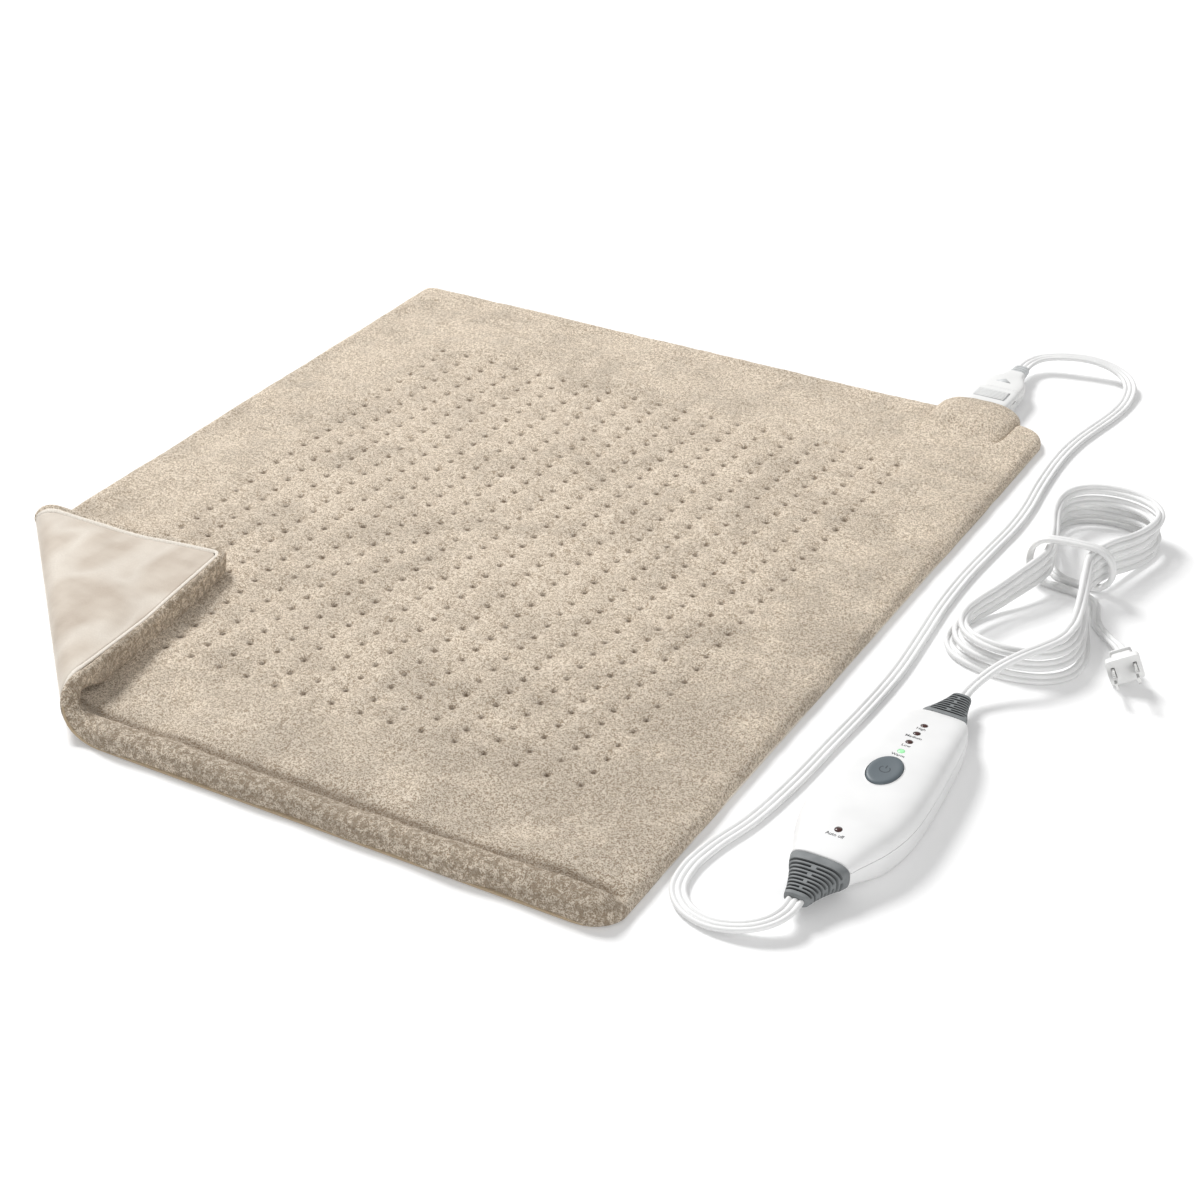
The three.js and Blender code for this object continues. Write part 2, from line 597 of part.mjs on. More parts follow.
function makeReceptacle() {
  const x = receptacle.x;
  const halfCavity = receptacle.cavityWidth / 2;
  const cavityStart = receptacle.backY + receptacle.backWall;
  const cavityLow = socketMiddle - receptacle.cavityHeight / 2;
  const cavityHigh = socketMiddle + receptacle.cavityHeight / 2;
  let body = roundedBar(
    receptacle.width / 2, socketBottom, socketTop, receptacle.cornerRadius, receptacle.backY,
    receptacle.frontY
  );
  const ribSpan = grip.length / grip.ribs;
  for (let i = 0; i < grip.ribs; i++) {
    const ribY = grip.startY + i * ribSpan;
    body = body.add(
      block(
        x - grip.width / 2, x + grip.width / 2, ribY, ribY + grip.ribWidth, socketMiddle,
        socketTop + grip.ribHeight
      )
    );
  }
  const windowHalf = latch.height / 2 + clearance;
  const tools = [
    block(x - halfCavity, x + halfCavity, cavityStart, receptacle.frontY + overrun, cavityLow, cavityHigh),
    block(
      x - wide, x + wide, latch.rootY - clearance, latch.rootY + latch.length + clearance,
      socketMiddle - windowHalf, socketMiddle + windowHalf
    ),
    block(x - receptacle.wireHole, x + receptacle.wireHole, receptacle.backY - overrun, cavityStart + clearance,
      socketMiddle - receptacle.wireHole / 2, socketMiddle + receptacle.wireHole / 2),
  ];
  const shell = cut(body, ...tools);
  piece('receptacle_upper_shell', cut(shell, below(socketMiddle + clearance / 2)), whitePlastic);
  piece('receptacle_lower_shell', cut(shell, above(socketMiddle - clearance / 2)), whitePlastic);

  const blockStart = cavityStart + clearance;
  const blockEnd = blockStart + receptacle.blockLength;
  const pinStart = blockStart;
  const pinHoles = pinPlaces.map(
    (px) => rod(receptacle.pinHoleRadius, px, socketMiddle, pinStart - overrun, blockEnd + overrun)
  );
  piece('receptacle_pin_block', cut(
    block(
      x - halfCavity + clearance, x + halfCavity - clearance, blockStart, blockEnd, cavityLow + clearance,
      cavityHigh - clearance
    ),
    ...pinHoles,
  ), blackPlastic);
  pinPlaces.forEach((px, i) => {
    piece(
      `receptacle_pin_${i + 1}`,
      rod(receptacle.pinRadius, px, socketMiddle, pinStart, pinStart + receptacle.pinLength, 10), brass
    );
  });
  for (const [name, side] of [['latch_left', -1], ['latch_right', 1]]) {
    piece(name, latchSolid(side), whitePlastic);
  }
}

function latchSolid(side) {
  const outline = [
    [latchOuter - latch.thickness, 0],
    [latchOuter, 0],
    [latchOuter, latch.length / 3],
    [latchOuter + latch.bump, latch.length / 2],
    [latchOuter + latch.bump, latch.length - latch.bump],
    [latchOuter, latch.length],
    [latchOuter - latch.thickness - latch.catchDepth, latch.length],
    [latchOuter - latch.thickness, latch.length - 2 * latch.catchDepth],
  ];
  const shape = new THREE.Shape(outline.map(([dx, dy]) => new THREE.Vector2(side * dx, dy)));
  const tongue = new THREE.ExtrudeGeometry(shape, { depth: latch.height, bevelEnabled: false });
  return solidOf(tongue.translate(receptacle.x, latch.rootY, socketMiddle - latch.height / 2));
}

function makeSleeve() {
  const shares = [
    [0, 1, 0.5], [0.2, 1, 0.66], [0.42, 0.99, 0.94], [0.7, 0.98, 1], [0.92, 0.96, 0.99], [1, 0.92, 0.95]
  ];
  const rings = shares.map(([lengthShare, widthShare, heightShare]) => {
    const y = sleeve.startY + lengthShare * (sleeve.endY - sleeve.startY);
    const top = coverBottom + heightShare * (sleeve.height - coverBottom);
    const half = sleeve.halfWidth * widthShare;
    const arch = [];
    for (let i = 0; i <= 10; i++) {
      const angle = (Math.PI * i) / 10;
      const c = Math.cos(angle);
      arch.push(new THREE.Vector3(
        receptacle.x + half * Math.sign(c) * Math.abs(c) ** 0.8,
        y,
        coverBottom + (top - coverBottom) * Math.abs(Math.sin(angle)) ** 0.7,
      ));
    }
    return arch;
  });
  const hollow = block(
    receptacle.x - receptacle.width / 2 - clearance, receptacle.x + receptacle.width / 2 + clearance,
    receptacle.backY - clearance, sleeve.endY + overrun, 0, socketTop + clearance,
  );
  const channel = block(
    receptacle.x - sleeve.channelWidth / 2, receptacle.x + sleeve.channelWidth / 2,
    sleeve.startY - overrun, receptacle.backY, 0, pad.cavityTop,
  );
  piece('connector_sleeve', cut(solidOf(ringSolid(rings)), hollow, channel), plush);
}

// The cord's half of the connector
function makeCoupler() {
  const x = receptacle.x;
  const start = receptacle.frontY + clearance;
  const half = receptacle.width / 2;
  const endTop = socketMiddle + coupler.endHeight / 2;
  const endBottom = socketMiddle - coupler.endHeight / 2;
  const shares = [
    [0, 1, 0], [0.13, 1, 0], [0.35, 0.93, 0], [0.55, 0.62, 0.25], [0.72, 0.25, 0.7], [0.86, 0.06, 0.95],
    [1, 0, 1]
  ];
  const rings = shares.map(([lengthShare, widthShare, taperShare]) => section(
    start + lengthShare * coupler.length,
    coupler.endHalfWidth + widthShare * (half - coupler.endHalfWidth),
    socketBottom + taperShare * (endBottom - socketBottom),
    socketTop + taperShare * (endTop - socketTop),
    socketMiddle, 24, 5, 5,
  ).map((p) => p.setX(p.x + x)));
  const arrow = new THREE.Shape([
    new THREE.Vector2(-coupler.arrowWidth / 2, 0),
    new THREE.Vector2(coupler.arrowWidth / 2, 0),
    new THREE.Vector2(0, coupler.arrowLength),
  ]);
  const arrowSolid = solidOf(new THREE.ExtrudeGeometry(arrow, { depth: receptacle.height / 2 + coupler.arrowHeight, bevelEnabled: false })
    .translate(x, start + coupler.arrowY, socketMiddle));
  const noseSeat = nose.length - nose.depth;
  const seat = block(
    x - nose.width / 2 - clearance, x + nose.width / 2 + clearance, start - overrun,
    start + noseSeat + clearance,
    socketMiddle - nose.height / 2 - clearance, socketMiddle + nose.height / 2 + clearance,
  );
  const wireRoom = block(
    x - coupler.endHalfWidth / 2, x + coupler.endHalfWidth / 2, start, start + coupler.length + overrun,
    socketMiddle - leadCord.thickness / 2 - clearance, socketMiddle + leadCord.thickness / 2 + clearance,
  );
  const shell = cut(joined(solidOf(ringSolid(rings)), arrowSolid), seat, wireRoom);
  piece('connector_upper_shell', cut(shell, below(socketMiddle + clearance / 2)), whitePlastic);
  piece('connector_lower_shell', cut(shell, above(socketMiddle - clearance / 2)), whitePlastic);

  const noseTip = start - nose.depth;
  const noseEnd = start + noseSeat;
  const bores = pinPlaces.map(
    (px) => rod(nose.boreRadius, px, socketMiddle, noseTip - overrun, noseEnd + overrun)
  );
  const grooveHalf = latch.height / 2 + clearance;
  const grooves = [-1, 1].map((side) => {
    const inner = x + side * (nose.width / 2 - nose.grooveDepth);
    const outer = x + side * (nose.width / 2 + overrun);
    return block(Math.min(inner, outer), Math.max(inner, outer), noseTip - overrun, noseTip + nose.grooveLength,
      socketMiddle - grooveHalf, socketMiddle + grooveHalf);
  });
  const noseBody = block(
    x - nose.width / 2, x + nose.width / 2, noseTip, noseEnd, socketMiddle - nose.height / 2,
    socketMiddle + nose.height / 2
  );
  piece('connector_nose', cut(noseBody, ...bores, ...grooves), whitePlastic);
  pinPlaces.forEach((px, i) => {
    const from = noseEnd - clearance - contact.length;
    const tube = cut(
      rod(contact.outerRadius, px, socketMiddle, from, from + contact.length, 10),
      rod(
        contact.innerRadius, px, socketMiddle, from - overrun, from + contact.length - contact.outerRadius,
        10
      ),
    );
    piece(`connector_contact_${i + 1}`, tube, brass);
  });

  const reliefStart = start + coupler.length + clearance;
  const reliefRings = [];
  const ribSpan = leadRelief.length / leadRelief.ribs;
  for (let i = 0; i < leadRelief.ribs; i++) {
    for (const [offset, groove] of [[0, 0], [0.6, 0], [0.62, 1], [0.98, 1]]) {
      const share = (i + offset) / leadRelief.ribs;
      const halfWidth = leadRelief.halfWidth + share
        * (leadRelief.endHalfWidth - leadRelief.halfWidth) - groove * leadRelief.grooveDepth;
      const halfHeight = leadRelief.halfHeight + share
        * (leadRelief.endHalfHeight - leadRelief.halfHeight) - groove * leadRelief.grooveDepth;
      reliefRings.push(section(reliefStart + (i + offset) * ribSpan, halfWidth, socketMiddle - halfHeight, socketMiddle + halfHeight,
        socketMiddle, 12, 3, 3).map((p) => p.setX(p.x + x)));
    }
  }
  piece('connector_relief', solidOf(ringSolid(reliefRings)), whitePlastic);
  return reliefStart + leadRelief.length;
}

// Cords. A route is a list of points chosen by hand, in millimetres.
function cordSection(size, cores) {
  const shape = new THREE.Shape();
  const core = size.width / cores;
  const half = size.thickness / 2;
  const points = [];
  for (let i = 0; i < cores; i++) {
    const middle = -size.width / 2 + core * (i + 0.5);
    if (i > 0) points.push([half - size.groove, middle - core / 2]);
    points.push([half, middle]);
  }
  const far = points.map(([h, w]) => [-h, w]).reverse();
  const ends = [[0, size.width / 2]];
  const all = [...points, ...ends, ...far, [0, -size.width / 2]];
  all.forEach(([h, w], i) => (i === 0 ? shape.moveTo(h, w) : shape.lineTo(h, w)));
  shape.closePath();
  return shape;
}

function freeCord(name, points, size, cores, steps) {
  const route = new THREE.CatmullRomCurve3(points.map((p) => new THREE.Vector3(...p)), false, 'centripetal');
  const tube = new THREE.ExtrudeGeometry(
    cordSection(size, cores), { steps, bevelEnabled: false, extrudePath: route }
  );
  piece(name, tube, cordJacket);
  return route.getLength();
}

const controllerTurn = THREE.MathUtils.degToRad(controller.turn);
const controllerPoint = (y, z) => [
  controller.x - y * Math.sin(controllerTurn),
  controller.y + y * Math.cos(controllerTurn),
  z,
];
const leadBootEnd = -controller.length / 2 - clearance - leadBoot.length - clearance;
const supplyBootEnd = controller.length / 2 + clearance + supplyBoot.length + clearance;
const leadCordZ = (leadBoot.endTop + leadBoot.endBottom) / 2;
const supplyCordZ = (supplyBoot.endTop + supplyBoot.endBottom) / 2;

function makeLeadCord(reliefEnd) {
  const route = [
    [receptacle.x, reliefEnd + clearance, socketMiddle],
    [receptacle.x, reliefEnd + leadCord.width * 0.7, socketMiddle], [204.4, 401.4, 8.6], [208.6, 408, 9.6],
    [215, 412, 10.6], [226, 415.4, 11.8], [242.5, 418.6, 12],
    [259, 418, 10], [271, 412.6, 7.4], [278, 403, 5], [281.2, 388, 2.8], [281.4, 371, 2.05], [279.2, 352, 2],
    [275.6, 332, 2], [272.4, 312, 2], [270.8, 292, 2], [270.8, 270, 2], [273, 236, 2], [276.6, 202, 2],
    [277.6, 172, 2], [276, 138, 2], [274.6, 100, 2], [275.6, 60, 2], [279, 20, 2], [281.8, -20, 2],
    [281.6, -60, 2], [279.4, -105, 2], [277.2, -150, 2], [272.6, -190, 2], [265.6, -219, 2],
    [263.2, -241, 2], [267, -260, 2], [278, -271.6, 2.1], [292.5, -276, 2.6], [306, -274.4, 4.4],
    [315, -270.6, 6.2], [321.6, -264.8, 8],
    controllerPoint(leadBootEnd - leadCord.width, leadCordZ - 0.2),
    controllerPoint(leadBootEnd, leadCordZ),
  ];
  return freeCord('lead_cord', route, leadCord, 3, leadCord.steps);
}

const hankEntry = [
  [361, 43, 21], [361, 49, 21], [359.8, 58, 21.3], [357.6, 69, 22], [354.4, 83, 23.6], [350.2, 100, 25.4],
];

function makeSupplyLead() {
  const route = [
    controllerPoint(supplyBootEnd, supplyCordZ),
    controllerPoint(supplyBootEnd + supplyCord.width * 1.5, supplyCordZ),
    [331.2, -20, 11.8], [337.4, -7.5, 16], [345.6, 4, 19.6], [353.6, 17, 20.8], [358.8, 28, 21],
    [361, 38, 21], [361, 43 - clearance, 21],
  ];
  return freeCord('supply_cord_lead', route, supplyCord, 2, 16);
}

// One turn of the hank in plan: two lobes drawn in at the waist
function hankPoint(angle, bulge, arm, z) {
  const c = Math.cos(angle);
  const s = Math.sin(angle);
  const reach = arm * Math.sign(s) * Math.abs(s) ** hank.power;
  const y = hank.waistY + reach;
  const x = hank.waistX + hank.lean * reach + c * (hank.waistHalf + bulge * s * s);
  const away = Math.abs(reach) - hank.raiseHalf;
  const fade = THREE.MathUtils.smoothstep(away, 0, hank.raiseFade);
  return new THREE.Vector3(x, y, z + hank.raise * (1 - fade));
}

const level = new THREE.Vector3(1, 0, 0);
const acrossWaist = new THREE.Vector3(0, -1, 0);
// The flat side faces up and to the front right all the way round, so it tips over at two corners of each
// turn
const tilted = (outX, outY) => new THREE.Vector3(outX, outY, THREE.MathUtils.clamp(outY - outX, -1, 1));
const hankTurns = [ // lobe bulge and arm, above and below the waist, from the top turn down
  { upperBulge: 60, upperArm: 99, lowerBulge: 65, lowerArm: 106 },
  { upperBulge: 57, upperArm: 95, lowerBulge: 71, lowerArm: 109 },
  { upperBulge: 62, upperArm: 93, lowerBulge: 81, lowerArm: 112 },
  { upperBulge: 60, upperArm: 94 },
];

function hankStations() {
  const stations = [];
  const stepsPerTurn = 24;
  const topLevel = hank.floorGap + hank.halfRise + 3 * hank.pitch;
  hankEntry.forEach(([x, y, z], i) => {
    const twist = i / hankEntry.length;
    stations.push({ point: new THREE.Vector3(x, y, z), wideAxis: level.clone().lerp(tilted(1, 0), twist) });
  });
  hankTurns.forEach((turn, k) => {
    const last = k === hankTurns.length - 1;
    for (let i = 0; i < stepsPerTurn; i++) {
      const angle = (2 * Math.PI * i) / stepsPerTurn;
      const upper = angle < Math.PI;
      if (last && angle > 2.66) break;
      const climb = last ? 0 : THREE.MathUtils.smoothstep(angle, Math.PI * 0.72, Math.PI * 1.28);
      const height = topLevel - hank.pitch * (k + climb);
      const bulge = upper ? turn.upperBulge : turn.lowerBulge;
      const arm = upper ? turn.upperArm : turn.lowerArm;
      const at = hankPoint(angle, bulge, arm, height);
      if (last && angle > Math.PI / 2) at.z = height;
      const onward = hankPoint(angle + 0.01, bulge, arm, height).sub(
        hankPoint(angle - 0.01, bulge, arm, height)
      ).setZ(0).normalize();
      stations.push({ point: at, wideAxis: tilted(onward.y, -onward.x) });
    }
  });
  return stations.concat(wrapStations());
}

// The last turn leaves under the waist, goes once round both runs and comes out at the right
function wrapStations() {
  const halfThick = supplyCord.thickness / 2;
  const low = halfThick + hank.floorGap;
  const high = 31.2;
  const right = hank.waistX + 25.9;
  const left = hank.waistX - 25;
  const radius = 13.9;
  const route = [
    [[314.6, 142.5, 2.8], tilted(-0.9, -0.4)],
    [[317.8, 135.2, 2.5], tilted(-0.8, -0.6)],
    [[323, 130.2, 2.1], tilted(-0.6, -0.8)],
    [[329.5, 127.6, 1.8], acrossWaist],
    [[337, 126.9, low], acrossWaist],
  ];
  const arc = (centreX, centreZ, from, to, y0, y1) => {
    for (let i = 0; i <= 4; i++) {
      const angle = THREE.MathUtils.degToRad(from + ((to - from) * i) / 4);
      const y = y0 + ((y1 - y0) * i) / 4;
      route.push([[centreX + radius * Math.cos(angle), y, centreZ + radius * Math.sin(angle)], acrossWaist]);
    }
  };
  arc(right - radius, low + radius, -90, 0, 126.8, 125.3);
  arc(right - radius, high - radius, 0, 90, 124.9, 123.4);
  arc(left + radius, high - radius, 90, 180, 121.4, 119.9);
  arc(left + radius, low + radius, 180, 270, 119.5, 118);
  route.push(
    [[330, 116.9, low], acrossWaist], [[338, 116.4, low], acrossWaist], [[344.2, 114.8, low], acrossWaist]
  );
  return route.map(([p, wideAxis]) => ({ point: new THREE.Vector3(...p), wideAxis }));
}

function flatTube(stations, size) {
  const section6 = [[-0.5, 0], [-0.25, 0.5], [0.25, 0.5], [0.5, 0], [0.25, -0.5], [-0.25, -0.5]];
  return stations.map(({ point, wideAxis }, i) => {
    const before = stations[Math.max(i - 1, 0)].point;
    const after = stations[Math.min(i + 1, stations.length - 1)].point;
    const inward = point.clone().sub(before).normalize();
    const onward = after.clone().sub(point).normalize();
    const tangent = inward.add(onward).normalize();
    const across = wideAxis.clone().addScaledVector(tangent, -wideAxis.dot(tangent)).normalize();
    const thin = tangent.clone().cross(across);
    return section6.map(
      ([w, t]) => point.clone().addScaledVector(across, w * size.width).addScaledVector(
        thin, t * size.thickness
      )
    );
  });
}

// The least distance between turns that are not neighbours along the cord
function leastGap(stations, rings) {
  const run = [0];
  stations.forEach((s, i) => i && run.push(run[i - 1] + s.point.distanceTo(stations[i - 1].point)));
  const apart = 6 * supplyCord.width;
  const triangle = new THREE.Triangle();
  const nearest = new THREE.Vector3();
  let least = Infinity;
  let spot = [];
  for (let i = 0; i < rings.length; i++) {
    for (let j = 0; j + 1 < rings.length; j++) {
      if (Math.abs(run[i] - run[j]) < apart || Math.abs(run[i] - run[j + 1]) < apart) continue;
      if (stations[i].point.distanceTo(stations[j].point) > 8 * supplyCord.width) continue;
      for (let k = 0; k < 6; k++) {
        const n = (k + 1) % 6;
        const faces = [
          [rings[j][k], rings[j][n], rings[j + 1][n]], [rings[j][k], rings[j + 1][n], rings[j + 1][k]]
        ];
        for (const face of faces) {
          triangle.set(...face);
          const around = [
            ...rings[i], ...rings[i].map((p, m) => p.clone().lerp(rings[i][(m + 1) % 6], 0.5))
          ];
          for (const point of around) {
            triangle.closestPointToPoint(point, nearest);
            if (nearest.distanceTo(point) < least) {
              least = nearest.distanceTo(point);
              spot = [i, j, ...point.toArray().map((v) => v.toFixed(1))];
            }
          }
        }
      }
    }
  }
  return { least, spot, length: run[run.length - 1] };
}

function makeHank() {
  const stations = hankStations();
  const rings = flatTube(stations, supplyCord);
  piece('supply_cord_hank', solidOf(ringSolid(rings)), cordJacket);
  return leastGap(stations, rings);
}

function makeSupplyTail(plugBack) {
  const route = [
    [344.5, 114.72, 1.75], [349.3, 113.2, 1.75], [353.8, 109.6, 1.75], [356.9, 104.2, 1.75],
    [359, 97.6, 1.75],
    [361.8, 90.6, 1.8], [366, 83.6, 2.1], [372.2, 76.4, 2.9],
    [379.2, 68.4, 4.6], ...plugBack.map((point) => point.toArray()),
  ];
  return freeCord('supply_cord_tail', route, supplyCord, 2, 14);
}

// Hand controller, in its own frame: +Y to the supply end, z from the floor
const bodyShares = [ // along the length from the lead end, then half width, top and bottom as shares
  [0, 0.555, 0.76, 0.1], [0.026, 0.6, 0.8, 0.075], [0.077, 0.708, 0.86, 0.03], [0.148, 0.85, 0.925, 0],
  [0.235, 0.957, 0.965, 0],
  [0.327, 1, 0.99, 0], [0.43, 0.985, 1, 0], [0.545, 0.94, 1, 0], [0.665, 0.875, 0.985, 0],
  [0.78, 0.8, 0.945, 0],
  [0.87, 0.72, 0.88, 0], [0.935, 0.625, 0.785, 0.02], [0.975, 0.525, 0.67, 0.05], [1, 0.44, 0.57, 0.08],
];
const crownPower = 2.9;
const basePower = 6;
const spline = bodyShares.map((row) => new THREE.Vector3(row[0], row[1], row[2]));

function bodyAt(share) {
  let i = 0;
  while (i < spline.length - 2 && spline[i + 1].x < share) i += 1;
  const t = (share - spline[i].x) / (spline[i + 1].x - spline[i].x);
  return {
    halfWidth: controller.halfWidth * (spline[i].y + t * (spline[i + 1].y - spline[i].y)),
    top: controller.height * (spline[i].z + t * (spline[i + 1].z - spline[i].z))
  };
}

function surfaceHeight(x, y) {
  const here = bodyAt((y + controller.length / 2) / controller.length);
  const share = Math.min(Math.abs(x) / here.halfWidth, 1);
  return controller.partingHeight + (here.top - controller.partingHeight)
    * (1 - share ** crownPower) ** (1 / crownPower);
}

function housingBody(shrink, count, rows) {
  const rings = rows.map(([lengthShare, widthShare, topShare, bottomShare]) => section(
    (lengthShare - 0.5) * controller.length,
    controller.halfWidth * widthShare - shrink,
    Math.max(
      controller.height * bottomShare, controller.floorCut * Math.sign(shrink)
    ) + shrink - controller.floorCut * Number(shrink === 0),
    controller.height * topShare - shrink,
    controller.partingHeight, count, crownPower, basePower,
  ));
  return solidOf(ringSolid(rings));
}

function bootNeck(boot, side, grow) {
  const end = (side * controller.length) / 2;
  const neckMiddle = (boot.endTop + boot.endBottom) / 2;
  const insideStart = end - side * controller.wall * 2;
  const outer = end + side * (clearance + (grow > 0 ? overrun : 0));
  const rings = [
    section(
      outer, boot.neckHalfWidth + grow, neckMiddle - boot.neckHalfHeight - grow,
      neckMiddle + boot.neckHalfHeight + grow, neckMiddle, 12, 3, 3
    ),
    section(
      insideStart, boot.neckHalfWidth + grow, neckMiddle - boot.neckHalfHeight - grow,
      neckMiddle + boot.neckHalfHeight + grow, neckMiddle, 12, 3, 3
    ),
  ];
  return solidOf(ringSolid(rings));
}

function makeController() {
  const group = new THREE.Group();
  group.position.set(controller.x, controller.y, 0);
  group.rotation.z = controllerTurn;
  root.add(group);
  const innerRows = bodyShares.filter((row, i) => i > 0 && i < bodyShares.length - 1);
  const outer = cut(housingBody(0, 28, bodyShares), below(0));
  const inner = housingBody(controller.wall, 16, innerRows);
  const necks = [bootNeck(leadBoot, -1, clearance), bootNeck(supplyBoot, 1, clearance)];
  const shell = cut(outer, inner, ...necks);

  const boardTop = board.height + board.thickness;
  const screwPlaces = boss.places.flatMap((y) => [[-boss.x, y], [boss.x, y]]);
  const lowerBosses = screwPlaces.map(
    ([x, y]) => post(boss.radius, x, y, controller.wall / 2, board.height - clearance, 10)
  );
  const upperBosses = screwPlaces.map(
    ([x, y]) => post(boss.radius, x, y, boardTop + clearance, controller.height, 10).intersect(outer)
  );
  const headTop = screw.recess + screw.headHeight;
  const shafts = screwPlaces.map(
    ([x, y]) => post(boss.boreRadius, x, y, headTop - clearance, headTop + screwLength + clearance, 10)
  );
  const wells = screwPlaces.map(
    ([x, y]) => post(screw.headRadius + clearance, x, y, -overrun, headTop + clearance, 10)
  );
  const upper = cut(shell, below(controller.partingHeight + clearance / 2));
  const lower = cut(shell, above(controller.partingHeight - clearance / 2));

  const buttonHole = oval(
    button.width + 2 * clearance, button.length + 2 * clearance, button.y, controller.partingHeight,
    controller.height + overrun
  );
  const lampHoles = lamp.places.map(
    (y) => post(lamp.radius + clearance, 0, y, controller.partingHeight, controller.height + overrun, 12)
  );
  piece(
    'controller_top_shell', cut(joined(upper, ...upperBosses), ...shafts, buttonHole, ...lampHoles),
    whitePlastic, group
  );
  piece(
    'controller_bottom_shell', cut(joined(lower, ...lowerBosses), ...wells, ...shafts), whitePlastic, group
  );

  piece('power_button', buttonSolid(boardTop), bluePlastic, group);
  lamp.places.forEach((y, i) => {
    const capTop = surfaceHeight(0, y) + lamp.rise;
    const capBottom = capTop - lamp.capLength;
    const lens = joined(
      post(lamp.radius, 0, y, capBottom, capTop, 12),
      post(lamp.bodyRadius, 0, y, boardTop + clearance, capBottom + lamp.rise, 12)
    );
    piece(`led_${lamp.names[i]}`, lens, lamp.names[i] === 'warm' ? litLens : darkLens, group);
  });

  const boardHoles = screwPlaces.map(([x, y]) => post(boss.boreRadius, x, y, 0, controller.height, 10));
  piece('circuit_board', cut(
    block(
      -board.width / 2, board.width / 2, board.y - board.length / 2, board.y + board.length / 2,
      board.height, boardTop
    ),
    ...boardHoles,
  ), boardGreen, group);
  const seat = boardTop + clearance;
  piece('tact_switch', joined(
    block(
      -tactSwitch.width / 2, tactSwitch.width / 2, button.y - tactSwitch.width / 2,
      button.y + tactSwitch.width / 2, seat, seat + tactSwitch.height
    ),
    post(tactSwitch.plungerRadius, 0, button.y, seat, seat + tactSwitch.height * 1.3, 12),
  ), blackPlastic, group);
  makeBoardParts(group, seat);
  screwPlaces.forEach(([x, y], i) => {
    const head = post(screw.headRadius, x, y, screw.recess, headTop, 10);
    const slot = block(
      x - screw.headRadius, x + screw.headRadius, y - screw.radius / 4, y + screw.radius / 4, 0,
      screw.recess + screw.headHeight / 2
    );
    piece(
      `housing_screw_${i + 1}`,
      cut(joined(head, post(screw.radius, x, y, headTop - clearance, headTop + screwLength, 10)), slot),
      steel, group
    );
  });
  makeBoot('lead_boot', leadBoot, -1, bodyShares[0], group);
  makeBoot('supply_boot', supplyBoot, 1, bodyShares[bodyShares.length - 1], group);
}

function oval(width, length, y, z0, z1, sides = 28) {
  const disc = new THREE.CylinderGeometry(0.5, 0.5, z1 - z0, sides).rotateX(Math.PI / 2);
  return solidOf(disc.scale(width, length, 1).translate(0, y, (z0 + z1) / 2));
}

function buttonSolid(boardTop) {
  const surface = surfaceHeight(0, button.y);
  const top = surface + button.rise;
  const wallInside = surfaceHeight(button.width / 2 + button.flange, button.y) - controller.wall;
  const flangeTop = wallInside - 2 * clearance;
  const half = button.length / 2;
  const profile = [
    [0, flangeTop - button.flangeThickness], [half + button.flange, flangeTop - button.flangeThickness],
    [half + button.flange, flangeTop], [half, flangeTop], [half, top - button.rim],
    [half - button.rim, top - button.rim / 3],
    [half / 2, top], [0, top],
  ];
  const turned = new THREE.LatheGeometry(
    profile.map(([r, z]) => new THREE.Vector2(r, z)), 28
  ).rotateX(Math.PI / 2);
  const cap = solidOf(turned.scale(button.width / button.length, 1, 1).translate(0, button.y, 0));
  const plungerTop = boardTop + clearance + tactSwitch.height * 1.3;
  const stem = post(button.stemRadius, 0, button.y, plungerTop + button.travel + clearance, flangeTop, 12);
  return joined(cap, stem);
}

function makeBoardParts(group, seat) {
  const parts = { // width, length, x, y
    film_capacitor: [6, 13, -10, -25.25],
    control_chip: [6, 10, -9, 21.75],
    triac_body: [4.5, 10, 11, -28.25],
    surge_block: [5, 8, 10, 13.75],
  };
  const room = controller.height - controller.wall - seat;
  const heightShares = {
    film_capacitor: 0.7751938, control_chip: 0.15503876, triac_body: 0.69767442, surge_block: 0.46511628
  };
  for (const [name, [width, length, x, y]] of Object.entries(parts)) {
    const height = room * heightShares[name];
    const box = block(x - width / 2, x + width / 2, y - length / 2, y + length / 2, seat, seat + height);
    const notchSize = width / 6;
    const mark = post(notchSize, x, y + length / 2, seat + height - notchSize, seat + height + overrun, 10);
    piece(name, cut(box, mark), blackPlastic, group);
  }
  const fuse = { radius: 2.4, length: 15, x: 0, y: -36.25, capLength: 3, capRadius: 2.6 };
  const fuseZ = seat + fuse.capRadius;
  const ends = [-1, 1].map((side) => {
    const from = fuse.y + (side * fuse.length) / 2;
    return rod(
      fuse.capRadius, fuse.x, fuseZ, Math.min(from, from - side * fuse.capLength),
      Math.max(from, from - side * fuse.capLength), 10
    );
  });
  piece(
    'mains_fuse',
    joined(rod(fuse.radius, fuse.x, fuseZ, fuse.y - fuse.length / 2, fuse.y + fuse.length / 2, 10), ...ends),
    steel, group
  );
}

